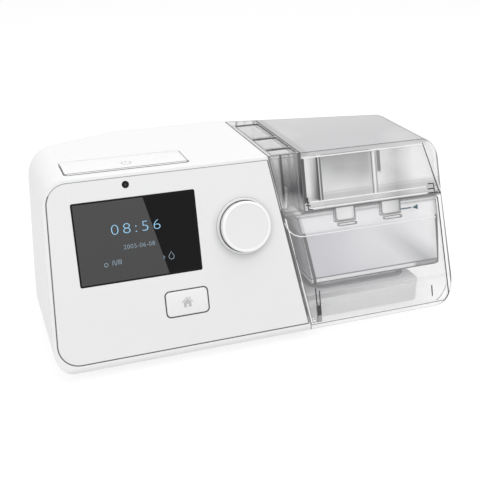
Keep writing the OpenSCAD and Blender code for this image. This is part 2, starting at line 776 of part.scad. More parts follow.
// Air inlet: recess with grille in the back, muffler box on the left, hood to the blower's eye
filter_cx = seam_x - filter_x;
filter_y0 = back_y - filter_deep;
filter_x0 = filter_cx - filter_w / 2;
filter_x1 = filter_cx + filter_w / 2;
filter_z1 = top_z - filter_drop;
filter_z = filter_z1 - filter_l;
muf_x0 = left_x + 17.5;
muf_x1 = blower_cx - volute_r - 16.5;
muf_y0 = blower_cy - 14;
muf_z0 = tray_top + 1.9;
muf_z1 = vol_z1;
hood_z1 = muf_z1 + 7.5;
hood_y0 = blower_cy - 6.5;
hood_y1 = blower_cy + 18;
module muffler_outline(i) {
    function y(x) = rear_at(x) - (wall + 0.4 + i) / cos(slant_turn);
    polygon(rounded([
        [muf_x0 + i, muf_y0 + i, 3 - i], [muf_x1 - i, muf_y0 + i, 3 - i],
        [muf_x1 - i, y(muf_x1 - i), 3 - i], [muf_x0 + i, y(muf_x0 + i), 8 - i]
    ]));
}
module inlet_muffler() {
    color(grey) difference() {
        along_z(muf_z0, muf_z1) muffler_outline(0);
        along_z(muf_z0 + duct_wall, muf_z1 - duct_wall) muffler_outline(duct_wall);
        slab(muf_x1 - 3, muf_y0 + 6, muf_z0 + 8, muf_x1 + 3, muf_y0 + 24, muf_z0 + 34);
        slab(muf_x0 + 12, hood_y0 + 3, muf_z1 - 5, muf_x1 - 3, hood_y1 - 3, muf_z1 + 5);
    }
}

module muffler_foam() {
    color(rubber) difference() {
        slab(muf_x0 + duct_wall + 0.1, muf_y0 + duct_wall + 2.3, muf_z0 + 40, muf_x1 - duct_wall - 0.1,
            rear_at(muf_x0) - wall - 6, muf_z0 + 62);
        for (dx = [0, 12]) translate([muf_x0 + 12 + dx, muf_y0 + 14, 0]) rod(3.5, far);
    }
}

module inlet_hood() {
    x0 = muf_x0 + 9;
    x1 = blower_cx + eye_r + 4;
    color(rubber) difference() {
        slab(x0, hood_y0, muf_z1 + 0.1, x1, hood_y1, hood_z1);
        slab(x0 + duct_wall, hood_y0 + duct_wall, muf_z1 + duct_wall, x1 - duct_wall, hood_y1 - duct_wall,
            hood_z1 - duct_wall);
        slab(x0 + 3, hood_y0 + 3, muf_z1 - 1, muf_x1 - 3, hood_y1 - 3, muf_z1 + 4);
        intersection() {
            translate([blower_cx, blower_cy, muf_z1 - 1]) rod(eye_r - 2, 4);
            slab(x0, hood_y0 + duct_wall, 0, x1, hood_y1 - duct_wall, far);
        }
    }
}

filter_pin_y = back_y - 2.4;
filter_pin_z = filter_z + 2.6;
module filter_pad() {
    color([0.85, 0.88, 0.9]) slab(filter_x0 + 1, filter_y0 + 0.2, filter_pin_z + 3, filter_x1 - 1,
        filter_y0 + 0.2 + pad_t, filter_z1 - 1);
}

module filter_door() {
    x0 = filter_x0 + gap;
    x1 = filter_x1 - gap;
    color(white) difference() {
        union() {
            slab(x0, filter_pin_y, filter_pin_z, x1, filter_pin_y + door_t, filter_z1 - gap);
            along_x(x0, x1) translate([filter_pin_y, filter_pin_z]) circle(2.1);
            slab(x0 + 4, filter_y0 + pad_t + 0.5, filter_z1 - 9, x0 + 6, filter_pin_y + e, filter_z1 - 6);
            slab(x1 - 6, filter_y0 + pad_t + 0.5, filter_z1 - 9, x1 - 4, filter_pin_y + e, filter_z1 - 6);
        }
        along_x(x0 - 1, x1 + 1) translate([filter_pin_y, filter_pin_z]) circle(door_pin_d / 2 + run_fit);
        for (k = [0:door_slots - 1])
            slab(x0 + 6, filter_pin_y - 1, filter_pin_z + 7 + 5 * k, x1 - 6, back_y,
                filter_pin_z + 9 + 5 * k);
    }
}

module filter_door_pin() {
    color(steel) along_x(filter_x0 - 1.2, filter_x1 + 1.2) translate([filter_pin_y, filter_pin_z])
        circle(door_pin_d / 2);
}

// Outlet duct from the blower's pipe to the seam, with the flow sensor on it
duct_end = seam_at(blower_z);
seal_r = pipe_r + 2.8;
module seam_slab(n0, n1) {
    along_y(-far, far) polygon([
        [seam_at(0) + n0, 0], [seam_at(0) + n1, 0], [seam_at(150) + n1, 150], [seam_at(150) + n0, 150]
    ]);
}
module outlet_duct() {
    color(grey) difference() {
        union() {
            along_x(pipe_end - 6, pipe_end + 2) translate([port_y, blower_z])
                circle(pipe_r + duct_wall + 0.1);
            along_x(pipe_end, duct_end + 5) translate([port_y, blower_z]) circle(pipe_r);
        }
        along_x(pipe_end - 7, pipe_end + 0.1) translate([port_y, blower_z]) circle(pipe_r + 0.1);
        along_x(pipe_end - 1, far) translate([port_y, blower_z]) circle(port_d / 2);
        seam_slab(-0.1, far);
    }
}

module flow_sensor() {
    color(green) difference() {
        slab(pipe_end + 2.5, port_y - 7, blower_z + 4, pipe_end + 11, port_y + 7, blower_z + pipe_r + 6);
        along_x(0 - far, far) translate([port_y, blower_z]) circle(pipe_r + 0.05);
    }
}

module port_seal() {
    color(rubber) difference() {
        intersection() {
            along_x(duct_end - 9, duct_end + 9) translate([port_y, blower_z]) circle(seal_r);
            seam_slab(-wall - 0.6, 0);
        }
        along_x(duct_end - 20, duct_end + 20) translate([port_y, blower_z]) circle(pipe_r + 0.05);
    }
}

// Power board on the tray, with the inlet behind a round hole in the back
jack_cx = seam_x - jack_x;
jack_a = 11;
power_z = jack_z - jack_a / 2 - board_t;
power_x0 = jack_cx - 54;
power_x1 = jack_cx + 8;
power_y0 = blower_cy + 21.5;
power_y1 = back_y - wall - 5.2;
power_posts = [[power_x0 + 3, power_y0 + 3], [power_x1 - 3, power_y0 + 3], [power_x0 + 24, power_y1 - 8.5]];
module power_board() {
    color(green) difference() {
        union() {
            slab(power_x0, power_y0, power_z, power_x1, power_y1, power_z + board_t);
            for (dx = [10, 20, 30]) translate([power_x0 + dx, power_y1 - 5, power_z + board_t - e])
                rod(4, 9 - dx / 10);
            slab(ribbon_x - 1, power_y0 + 1.5, power_z + board_t - e, ribbon_x + ribbon_w + 1,
                power_y0 + 7.5,
                power_z + board_t + 6);
        }
        for (p = power_posts) translate([p[0], p[1], 0]) rod(1.3, far);
    }
}

module dc_jack() {
    color(dark) difference() {
        union() {
            slab(jack_cx - jack_a / 2, power_y1 - 11, jack_z - jack_a / 2 + 0.05, jack_cx + jack_a / 2,
                back_y - wall - 0.1, jack_z + jack_a / 2);
            along_y(power_y1, back_y - 0.2) translate([jack_cx, jack_z]) circle(jack_a / 2 - 0.5);
        }
        along_y(back_y - 0.2 - jack_deep, far) translate([jack_cx, jack_z]) difference() {
            circle(jack_d / 2);
            circle(jack_pin_d / 2);
        }
        along_y(back_y - 1.4, far) translate([jack_cx, jack_z]) circle(jack_d / 2);
    }
}

// Flat cable from the foot of the main board back to the power board
ribbon_w = 16;
ribbon_x = home_at[0] - 8.8;
module ribbon_cable() {
    y0 = panel_y(panel_z(board_v0 + 4)) - (board_back - 3.1) * lean_out;
    z0 = panel_z(board_v0 + 4) + 2;
    y1 = power_y0 + 4;
    z1 = power_z + board_t + 6.2;
    color(grey) along_x(ribbon_x, ribbon_x + ribbon_w) polygon([
        [y0 + 0.3, z0 - 2], [y0 + 0.3, z0 + 2], [y0 + 7, z0 + 2], [y1 - 14, z1 + 9], [y1 - 4, z1 + 9],
        [y1, z1 + 5],
        [y1, z1], [y1 - 0.7, z1], [y1 - 0.7, z1 + 4.7], [y1 - 4.3, z1 + 8.3], [y1 - 13.7, z1 + 8.3],
        [y0 + 7.3, z0 + 1.3], [y0 + 1.1, z0 + 1.3], [y0 + 1.1, z0 - 2]
    ]);
}

// White post of the main unit that reaches through the tank's side and holds its latch
post_z0 = rim_z + 1.2;
post_z1 = post_z0 + 13.5;
post_y0 = panel_y(post_z1) + 3.6;
post_x1 = seam_at(post_z0) + 6.6;
post_t = 3;
module latch_post() {
    color(white) difference() {
        slab(seam_at(post_z1) - wall - 1, post_y0, post_z0, post_x1, post_y0 + post_t, post_z1);
        slab(post_x1 - 3.7, post_y0 - 1, post_z0 + 3.6, post_x1 - 1.8, post_y0 + 9, post_z1 - 3.6);
    }
}

// Casing: one shell with a ledge for the panel, and openings for all that shows through it
tray_x0 = left_x + side_r + 4;
tray_x1 = seam_at(base_z) - 5.4;
tray_y0 = front_y + 12.5;
tray_y1 = back_y - 12;
heater_y0 = front_y + heater_y;
heater_y1 = heater_y0 + heater_d;
heater_x0 = seam_at(heater_top) - 26;
heater_x1 = right_x - heater_end;
screw_posts = [[tray_x0 + 7, tray_y0 + 3], [tray_x0 + 7, muf_y0 - 6], [muf_x1 + 8, tray_y1 - 12],
    [tray_x1 - 8, tray_y1 - 5]];
module tray_outline(i, r) {
    function y(x) = rear_at(x) - 10 - i / cos(slant_turn);
    x2 = tray_x0 + (tray_y1 - y(tray_x0) - i) * slant_x / slant_y;
    polygon(rounded([
        [tray_x0 + i, tray_y0 + i, 4], [tray_x1 - max(i, 0) - r, tray_y0 + i, 4],
        [tray_x1 - max(i, 0) - r, tray_y1 - i, 4], [x2, tray_y1 - i, 8], [tray_x0 + i, y(tray_x0 + i), 8]
    ]));
}
module cavity() {
    difference() {
        body_solid(wall, wall + panel_t + play - 0.3);
        for (p = screw_posts) translate([p[0], p[1], tray_top + 2.2]) rod(3.5, 16);
        slab(left_x, screw_posts[0][1] - 1, tray_top + 2.2, screw_posts[0][0], screw_posts[0][1] + 1,
            tray_top + 18);
        slab(left_x, screw_posts[1][1] - 1, tray_top + 2.2, screw_posts[1][0], screw_posts[1][1] + 1,
            tray_top + 18);
        for (k = [2, 3])
            slab(screw_posts[k][0] - 1, screw_posts[k][1], tray_top + 2.2, screw_posts[k][0] + 1, back_y,
                tray_top + 18);
        slab(filter_x0 - wall, filter_y0 - wall, filter_z - wall, filter_x1 + wall, back_y,
            filter_z1 + wall);
        for (s = [-1, 1], d = [-3.8, 3.8])
            slab(start_cx + s * lug_dx + d - 1, rod_y - 3, rod_z - 2.6, start_cx + s * lug_dx + d + 1,
                start_y1 + 5, top_z);
        for (dx = start_posts) translate([start_cx + dx, start_post_y, start_board_z + board_t + 0.05])
            rod(2.6, 20);
    }
}

module upper_casing() {
    color(white) difference() {
        body_solid(0, 0);
        cavity();
        out_of_panel(-panel_t - play, 9) panel_outline(play);
        out_of_panel(-panel_t - play, 9) translate([0, 5]) square([far, panel_z(60)]);
        on_panel() translate([0, 0, -panel_t - 9]) linear_extrude(20) polygon(rounded([
            [side_at(panel_foot_z) + panel_rim + ledge_w, ledge_w, panel_r - 2],
            [seam_at(panel_foot_z) - wall - ledge_w, ledge_w, 1],
            [seam_at(panel_top_z) - wall - ledge_w, up_panel(panel_top_z) - ledge_w, 1],
            [side_at(panel_top_z) + panel_rim + ledge_w, up_panel(panel_top_z) - ledge_w, panel_r - 2]
        ]));
        along_z(0, tray_top + 1) tray_outline(0, 0);
        slab(tray_x1 - 12, heater_y0 - gap, 0, right_x, heater_y1 + gap, heater_top + gap);
        along_z(top_z - start_t - 1.2, far) polygon(box_outline(start_cx - start_w / 2 - start_seam,
            start_y0 - start_seam, start_cx + start_w / 2 + start_seam, start_y1 + start_seam, 2.8));
        along_x(start_cx - start_w / 2, start_cx + start_w / 2) translate([rod_y, rod_z])
            circle(rod_d / 2 + run_fit);
        for (s = [-1, 1]) slab(start_cx + s * lug_dx - 1.5 - gap, rod_y - 2.6, rod_z - 5,
            start_cx + s * lug_dx + 1.5 + gap,
            rod_y + 2.6, top_z);
        on_panel() translate([sensor_at[0], sensor_at[1], -9]) rod(sensor_d / 2 + 1.2, 9);
        for (dx = start_posts) translate([start_cx + dx, start_post_y, start_board_z])
            rod(1.1, board_t + 4.6);
        for (p = screw_posts) translate([p[0], p[1], 0]) rod(1.5, tray_top + 14);
        slab(filter_x0, filter_y0, filter_z, filter_x1, far, filter_z1);
        for (k = [0:7]) slab(filter_x0 + 4 + k * (filter_w - 8) / 8, filter_y0 - 9, filter_z + 5,
            filter_x0 + 7.5 + k * (filter_w - 8) / 8, filter_y0 + 9, filter_z1 - 5);
        along_x(filter_x0 - 1.4, filter_x1 + 1.4) translate([filter_pin_y, filter_pin_z])
            circle(door_pin_d / 2 + run_fit);
        along_y(back_y - 1.4, far) translate([filter_cx, filter_z1 + 1]) circle(7);
        along_y(back_y - wall - 1, far) translate([jack_cx, jack_z]) circle(jack_a / 2 - 0.5 + play);
        along_x(0, far) translate([port_y, blower_z]) circle(seal_r + 0.05);
        slab(seam_at(post_z1) - wall - 4, post_y0 - play, post_z0 - play, far, post_y0 + post_t + play,
            post_z1 + play);
    }
}

feet_left = [[tray_x0 + 8, tray_y0 + 15], [tray_x0 + 22, rear_at(tray_x0 + 22) - 22]];
feet_right = [[heater_x1 - 12, heater_y0 + 20], [heater_x1 - 12, heater_y1 - 16]];
module base_tray() {
    color(grey) difference() {
        union() {
            along_z(base_z, tray_top) tray_outline(play, 0);
            difference() {
                along_z(tray_top, tray_top + 1.8) tray_outline(-2, 6);
                along_z(0, far) tray_outline(5, -far);
                slab(heater_x0 - 1, heater_y0 - 1, 0, right_x, heater_y1 + 1, far);
            }
            for (p = power_posts) translate([p[0], p[1], tray_top - e]) rod(3, power_z - tray_top - 0.05);
            for (x = [blower_cx, blower_cx - 1]) translate([x, blower_cy, tray_top - e]) rod(6, 1.6);
        }
        for (p = screw_posts) translate([p[0], p[1], -1]) rod(1.6, far);
        for (p = screw_posts) translate([p[0], p[1], base_z - e]) rod(3, 1.4);
        for (p = power_posts) translate([p[0], p[1], tray_top + 0.5]) rod(1.1, far);
        for (p = feet_left) translate([p[0], p[1], base_z - 1]) rod(foot_d / 2 - 1 + play, 1 + foot_seat);
    }
}

module foot(p) {
    color(rubber) translate([p[0], p[1], 0]) {
        cylinder(r1 = foot_d / 2 - 0.8, r2 = foot_d / 2, h = 0.8);
        translate([0, 0, 0.8 - e]) rod(foot_d / 2, base_z - 0.8);
        rod(foot_d / 2 - 1, base_z + foot_seat - 0.1);
    }
}
module foot_front_left() foot(feet_left[0]);
module foot_rear_left() foot(feet_left[1]);
module foot_front_right() foot(feet_right[0]);
module foot_rear_right() foot(feet_right[1]);

module casing_screws() {
    color(steel) for (p = screw_posts) translate([p[0], p[1], 0]) {
        translate([0, 0, base_z + 0.2]) rod(2.8, 1.1);
        translate([0, 0, base_z + 0.3]) rod(1.45, 12);
    }
}

// Heater base: a hollow tongue of the main unit under the tank, held down by rails in the shell
keel_y = 7;
rail_z = base_z + clear_wall + 0.7;
heater_cx = (seam_at(heater_top) + 15 + heater_x1 - 6) / 2;
heater_cy = (heater_y0 + heater_y1) / 2 + 2;
module heater_outline(i) {
    polygon(box_outline(heater_x0 + i, heater_y0 + i, heater_x1 - i, heater_y1 - i, 6 - i));
}
module heater_base() {
    color(grey) difference() {
        union() {
            along_z(rail_z, heater_top) heater_outline(0);
            along_z(base_z, rail_z + e) polygon(box_outline(seam_at(base_z) + 1, heater_y0 + keel_y,
                heater_x1 - 4,
                heater_y1 - keel_y, 4));
        }
        along_z(rail_z + 2, heater_top - 2) heater_outline(2);
        along_z(heater_top - 5, far) translate([heater_cx, heater_cy])
            polygon(block(plate_w + 5, plate_d + 5, plate_r + 2.5));
        slab(heater_x0 - 5, heater_y0 + 12, rail_z + 4, heater_x0 + 5, heater_y0 + 40, heater_top - 4);
        for (p = feet_right) translate([p[0], p[1], base_z - 1]) rod(foot_d / 2 - 1 + play, 1 + foot_seat);
    }
}

module heater_plate() {
    color(steel) translate([heater_cx, heater_cy, 0]) {
        along_z(heater_top - 3.2, heater_top + plate_up) polygon(block(plate_w, plate_d, plate_r));
        for (s = [-1, 1], t = [-1, 1])
            translate([s * (plate_w / 2 - 9), t * (plate_d / 2 - 9), rail_z + 2.05])
                rod(3, heater_top - rail_z - 5);
    }
}

module heater_element() {
    color([0.75, 0.45, 0.15]) translate([heater_cx, heater_cy, 0])
        along_z(heater_top - 4.7, heater_top - 3.25) polygon(block(plate_w - 26, plate_d - 12, 3));
}

module heater_seal() {
    color(rubber) translate([heater_cx, heater_cy, 0]) along_z(heater_top - 2, heater_top + 0.8)
        difference() {
        polygon(block(plate_w + 4.9, plate_d + 4.9, plate_r + 2.45));
        polygon(block(plate_w + 0.1, plate_d + 0.1, plate_r));
    }
}

// Tank's outside, drawn in by i, and the part of it that is the lid
function tank_face(i) =
    let (zb = base_z + i, zt = top_z - i, m = gap + i / cos(seam_lean))
    rounded([
        [seam_at(zb) + m, zb, 0], [right_at(zb) - i, zb, tank_r - i], [right_at(rim_z) - i, rim_z, 0],
        [lid_right_at(zt) - i, zt, lid_r - i], [seam_at(zt) + m, zt, 0]
    ]);
module tank_solid(i) {
    intersection() {
        along_y(front_y - 1, back_y) polygon(tank_face(i));
        along_x(0 - far, far) polygon(rounded([
            [panel_y(base_z + i) + i * lean_out, base_z + i, max(0.5, toe_r - i)], [back_y, base_z + i, 0],
            [back_y, top_z - i, 0], [panel_y(top_z - i) + i * lean_out, top_z - i, 0]
        ]));
        along_z(0, far) polygon(rounded([
            [seam_x - 60, front_y - 9, 0], [right_x - i + 0.1, front_y - 9, 0],
            [right_x - i + 0.1, back_at(right_x) - i / cos(back_slant), tank_rear_r - i],
            [seam_x - 60, back_at(seam_x - 60) - i / cos(back_slant), 0]
        ]));
    }
}
// Facet down the front right edge: starts at x0 at height z0 and reaches x1 at height z1
module front_facet(x0, z0, x1, z1, i) {
    on_panel() translate([x0, up_panel(z0), 0])
        rotate([0, 0, atan2(x0 - x1, up_panel(z1) - up_panel(z0))]) rotate([0, facet_turn, 0])
        translate([-far, -far, -i]) cube([2 * far, 2 * far, far]);
}
lid_x0 = seam_x + strip_w;
module shell_solid(i) {
    difference() {
        tank_solid(i);
        front_facet(right_at(rim_z) + 0.1, base_z + tank_r, right_at(rim_z) - 3.3, rim_z, i);
    }
}
module lid_zone(i) slab(lid_x0 + i, -far, rim_z, far, far, far);
module lid_solid(i) {
    difference() {
        intersection() {
            tank_solid(i);
            lid_zone(i);
        }
        front_facet(lid_right_at(rim_z) - 3.5, rim_z, lid_right_at(top_z) - lid_r + 1.7, top_z, i);
    }
}

// Tank shell: open below for the heater base, with the lid's place cut away
strip_x1 = lid_x0 - gap;
strip_floor = rim_z - 1.8;
tub_top = rim_z - 1.9;
tabs = [lid_x0 + 27.3, lid_x0 + 60];
tab_v = up_panel(rim_z);
port_hole_r = port_d / 2 + 0.2;
win_y = [[port_y - 8, port_y + 8], [port_y + 16.5, port_y + 38]];
win_z0 = strip_floor + 6;
win_z1 = top_z - 10;
hose_x = seam_x + 12;
pin_angle = -back_slant;
pin_z = rim_z + 1.6;
module at_hinge() translate([seam_x, back_at(seam_x), 0]) rotate([0, 0, pin_angle])
    translate([0, pin_out, pin_z]) children();
hinge_s0 = strip_w + 12;
knuckles = 5;
knuckle_l = 15;
shell_arm = [[-pin_out - 0.6, -2.1], [-pin_out - 0.6, -8], [-pin_out, -8], [2.4, -1.7], [-2.4, -1.7]];
lid_arm = [[-pin_out - 0.6, -1.1], [-2.7, -1.1], [-1, 2.7], [-pin_out, 7], [-pin_out - 0.6, 7]];
module knuckle_row(first, arm, fit) {
    at_hinge() difference() {
        for (k = [first:2:knuckles - 1]) union() {
            s = hinge_s0 + k * knuckle_l + gap / 2;
            along_x(s, s + knuckle_l - gap) circle(knuckle_r);
            along_x(s, s + knuckle_l - gap) polygon(arm);
        }
        along_x(hinge_s0 - 5, far) circle(pin_d / 2 + fit);
    }
}

module tank_shell() {
    color(clear) difference() {
        union() {
            difference() {
                shell_solid(0);
                shell_solid(clear_wall);
                slab(lid_x0 - gap, -far, rim_z - 0.4, far, far, far);
                slab(seam_x, heater_y0 + keel_y - 0.5, 0, heater_x1 + 1, heater_y1 - keel_y + 0.5,
                    base_z + clear_wall + 1);
                slab(-far, heater_y0 - gap, 0, seam_at(base_z) + 9, heater_y1 + gap,
                    heater_top + plate_up + gap);
            }
            intersection() {
                tank_solid(0.5);
                union() {
                    slab(seam_x, -far, strip_floor, strip_x1, far, strip_floor + 2.2);
                    slab(strip_x1 - 2.2, -far, strip_floor, strip_x1, far, top_z - 0.6);
                }
            }
        }
        along_x(0, lid_x0 - 10) translate([port_y, blower_z]) circle(port_hole_r);
        slab(-far, post_y0 - 0.8, post_z0 - 0.5, post_x1 + 2, post_y0 + post_t + 0.8, post_z1 + 0.8);
        for (w = win_y) slab(lid_x0 - 6, w[0], win_z0, lid_x0 + 3, w[1], win_z1);
        along_y(-10 + back_y - 20, far) translate([hose_x, hose_z]) circle(neck_d / 2 + play);
        for (x = tabs) on_panel() {
            translate([x - tab_w / 2 - gap, tab_v - tab_l - gap, -clear_wall - 0.4])
                cube([tab_w + 2 * gap, far, 9]);
            translate([x - tab_w / 2 + 2, tab_v - tab_l - 3.2, -clear_wall - 0.4])
                cube([tab_w - 1, 1.3, 9]);
        }
        for (w = [[34, 44], [46, 67], [69.5, 100]])
            slab(seam_x + 3.6, front_y + w[0], top_z - 0.9, strip_x1 - 1.2, front_y + w[1], far);
    }
    color(clear) knuckle_row(0, shell_arm, 0.02);
}

// Air duct insert in the strip: one channel in from the blower, one back out to the hose
insert_x1 = strip_x1 - 2.2 - play;
insert_z0 = strip_floor + 2.2 + play;
insert_z1 = top_z - clear_wall - play;
insert_y0 = panel_y(top_z) + clear_wall * lean_out + 1;
insert_y1 = back_at(insert_x1) - clear_wall - 0.9;
insert_wall = 1.6;
function insert_left(z) = seam_at(z) + gap + clear_wall / cos(seam_lean) + play;
module duct_insert() {
    zt = insert_z1;
    color(clear) difference() {
        along_y(insert_y0, insert_y1) polygon([
            [insert_left(insert_z0), insert_z0], [insert_x1, insert_z0], [insert_x1, zt],
            [insert_left(zt), zt]
        ]);
        for (w = [[insert_y0 + 1.6, port_y - 9.6], [port_y - 8, port_y + 13],
            [port_y + 15, insert_y1 - 1.6]])
            along_y(w[0], w[1]) polygon([
                [insert_left(insert_z0 + 1.6) + insert_wall, insert_z0 + 1.6],
                [insert_x1 - insert_wall, insert_z0 + 1.6],
                [insert_x1 - insert_wall, far], [insert_left(zt) + insert_wall, far],
                [insert_left(zt) + insert_wall, zt]
            ]);
        along_x(0, insert_x1 - 5) translate([port_y, blower_z]) circle(port_hole_r);
        for (w = win_y) slab(insert_x1 - 4, w[0], win_z0, far, w[1], win_z1);
        along_y(insert_y1 - 6, far) translate([hose_x, hose_z]) circle(neck_bore / 2);
    }
}

// Water tub: hangs by its flange in the shell, with a metal pan in its floor
tub_z0 = heater_top + plate_up + 0.3 + 2.4;
tub_r = 8;
function tub_left(z) = seam_at(crease_z) + 10.2 + (crease_z - z) * tan(seam_lean);
tub_in = clear_wall + tub_space;
function tub_right(z) = right_at(z) - tub_in;
tub_y = panel_y(crease_z) + tub_in * lean_out;
function tub_rear(x) = back_at(x) - tub_in / cos(back_slant) - (tub_top - crease_z) * tan(tub_lean) - tub_y;
module tub_solid(i) {
    foot = tub_z0 + i;
    x0 = tub_left(crease_z) - 9 + i;
    x1 = tub_right(tub_z0) - i;
    y0 = tub_y + i * lean_out;
    intersection() {
        along_y(-far, far) polygon(rounded([
            [tub_left(foot) + i, foot, 6 - i], [tub_right(foot) - i, foot, 6 - i],
            [tub_right(tub_top) - i, tub_top + (i > 0 ? 9 : 0), 0],
            [tub_left(tub_top) + i, tub_top + (i > 0 ? 9 : 0), 0]
        ]));
        along_x(0, far) polygon(rounded([
            [y0 - (crease_z - foot) * tan(tub_lean), foot, 6 - i], [far, foot, 0], [far, 99, 0],
            [panel_y(99) + (tub_in + i) * lean_out, 99, 0], [y0, crease_z, 0]
        ]));
        translate([0, tub_y, crease_z]) rotate([-tub_lean, 0, 0]) along_z(-far, far) polygon(rounded([
            [x0, i, 0], [x1, i, tub_r / 2 - i / 2], [x1, tub_rear(x1) * cos(tub_lean) - i, tub_r - i],
            [x0, tub_rear(x0) * cos(tub_lean) - i, 0]
        ]));
    }
}
module tub_flange_zone(i) {
    intersection() {
        shell_solid(clear_wall + play + i);
        slab(tub_left(tub_top) - 1 + (i > 0 ? lid_x0 + 6.8 - tub_left(tub_top) + 1 : 0), -far, tub_top - 2,
            far, far,
            tub_top + (i > 0 ? 1 : 0));
    }
}
pan_cx = heater_cx + 1;
pan_w = plate_w + 6;
pan_d = plate_d + 1;
module water_tub() {
    color(clear) difference() {
        union() {
            tub_solid(0);
            tub_flange_zone(0);
        }
        difference() {
            tub_solid(tub_wall);
            difference() {
                slab(-far, -far, tub_top - 2, far, far, far);
                tub_flange_zone(4);
            }
        }
        tub_flange_zone(6.9);
        along_z(0, tub_z0 + 9) translate([pan_cx, heater_cy]) polygon(block(pan_w - 8, pan_d - 8, plate_r));
    }
}

module tub_gasket() {
    color(rubber) translate([pan_cx, heater_cy]) along_z(tub_z0 - 1.2, tub_z0 - 0.05) difference() {
        polygon(block(pan_w, pan_d, plate_r + 2));
        polygon(block(pan_w - 7, pan_d - 7, plate_r));
    }
}

module tub_heat_plate() {
    color(steel) translate([pan_cx, heater_cy]) {
        along_z(tub_z0 - 2.4, tub_z0 - 1.25) polygon(block(pan_w, pan_d, plate_r + 2));
        along_z(tub_z0 - 2.4, tub_z0 + 0.6) polygon(block(pan_w - 8.4, pan_d - 8.4, plate_r));
    }
}

// Hose connector: a neck through the strip's back and a tapered end for the hose
cone_y0 = back_y + 0.6;
module outlet_connector() {
    color(clear) translate([hose_x, 0, hose_z]) rotate([-90, 0, 0]) difference() {
        union() {
            translate([0, 0, insert_y1 + 0.1]) cylinder(r = neck_d / 2, h = cone_y0 - insert_y1 + 1);
            translate([0, 0, cone_y0]) cylinder(r = hose_d / 2, h = hose_l + 0.3);
        }
        translate([0, 0, insert_y1 - 1]) cylinder(r = neck_bore / 2, h = far);
        translate([0, 0, cone_y0 + 2]) cylinder(r = hose_bore / 2, h = far);
    }
}

module lid_hinge_pin() {
    color(steel) at_hinge() along_x(hinge_s0 + 0.5, hinge_s0 + knuckles * knuckle_l - 0.5)
        circle(pin_d / 2);
}

// Flip lid: a clear box, open below, with an inner rim and two snap tabs
module lid_hollow() {
    difference() {
        lid_solid(clear_wall);
        difference() {
            slab(-far, -far, 0, far, far, rim_z + lid_rim_h);
            intersection() {
                tank_solid(clear_wall + lid_rim);
                lid_zone(clear_wall + lid_rim);
            }
        }
    }
    intersection() {
        tank_solid(clear_wall + lid_rim);
        slab(lid_x0 + clear_wall + lid_rim, -far, rim_z - 1, far, far, rim_z + lid_rim_h + 1);
    }
}
module flip_lid() {
    color(clear) difference() {
        union() {
            lid_solid(0);
            for (x = tabs) on_panel() translate([x, tab_v - tab_l, -clear_wall]) linear_extrude(clear_wall)
                polygon(rounded([[-tab_w / 2, 0, 2], [tab_w / 2, 0, 2], [tab_w / 2, tab_l + 1, 0],
                    [-tab_w / 2, tab_l + 1, 0]]));
        }
        lid_hollow();
        for (w = win_y) slab(lid_x0 - 3, w[0], win_z0, lid_x0 + 3, w[1], win_z1);
    }
    color(clear) knuckle_row(1, lid_arm, run_fit);
}

// Baffle in the lid, which keeps water out of the way back to the hose
module lid_baffle() {
    y0 = panel_y(rim_z) + 16;
    z0 = rim_z + 6;
    z1 = top_z - clear_wall - 0.1;
    color(clear) union() {
        slab(lid_x0 + 11, y0, z0, lid_x0 + 12.6, y0 + 42, z1);
        slab(lid_x0 + 15, y0, z0, lid_x0 + 16.6, y0 + 42, z1);
        slab(lid_x0 + 11, y0, z1 - 1.6, lid_x0 + 56, y0 + 42, z1);
        slab(lid_x0 + 54, y0, z1 - 15, lid_x0 + 56, y0 + 42, z1);
        slab(lid_x0 + 11, y0, z0, lid_x0 + 16.6, y0 + 1.6, z1);
    }
}

module lid_seal() {
    color(rubber) intersection() {
        difference() {
            tank_solid(clear_wall + 0.6);
            intersection() {
                tank_solid(clear_wall + lid_rim - 0.4);
                slab(lid_x0 + clear_wall + lid_rim - 0.4, -far, 0, far, far, far);
            }
        }
        slab(lid_x0 + 0.6, -far, rim_z - seal_t, far, far, rim_z - 0.02);
    }
}

upper_casing();
base_tray();
foot_front_left();
foot_rear_left();
foot_front_right();
foot_rear_right();
casing_screws();
front_panel();
screen_window();
lcd_module();
sensor_lens();
main_board();
board_screws();
encoder_body();
encoder_plunger();
encoder_shaft();
knob_collar();
control_knob();
home_button();
home_switch();
start_button();
start_hinge_rod();
start_board();
start_board_screws();
blower_cradle();
blower_bushes();
volute_lower();
volute_upper();
impeller();
rotor_shaft();
motor_can();
motor_stator();
motor_bearings();
inlet_muffler();
muffler_foam();
inlet_hood();
outlet_duct();
flow_sensor();
port_seal();
filter_pad();
filter_door();
filter_door_pin();
power_board();
dc_jack();
ribbon_cable();
latch_post();
heater_base();
heater_plate();
heater_element();
heater_seal();
tank_shell();
duct_insert();
water_tub();
tub_gasket();
tub_heat_plate();
outlet_connector();
flip_lid();
lid_baffle();
lid_seal();
lid_hinge_pin();
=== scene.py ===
"""Bedside air pressure machine with a heated water tank: its finishes and its fine pieces.

Metres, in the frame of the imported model: +X to the tank, +Y to the back, +Z up from the table.
"""
import json
import math

import bmesh
import bpy
from bpy.props import FloatProperty, FloatVectorProperty, PointerProperty, StringProperty
from mathutils import Matrix, Vector
from mathutils.geometry import convex_hull_2d


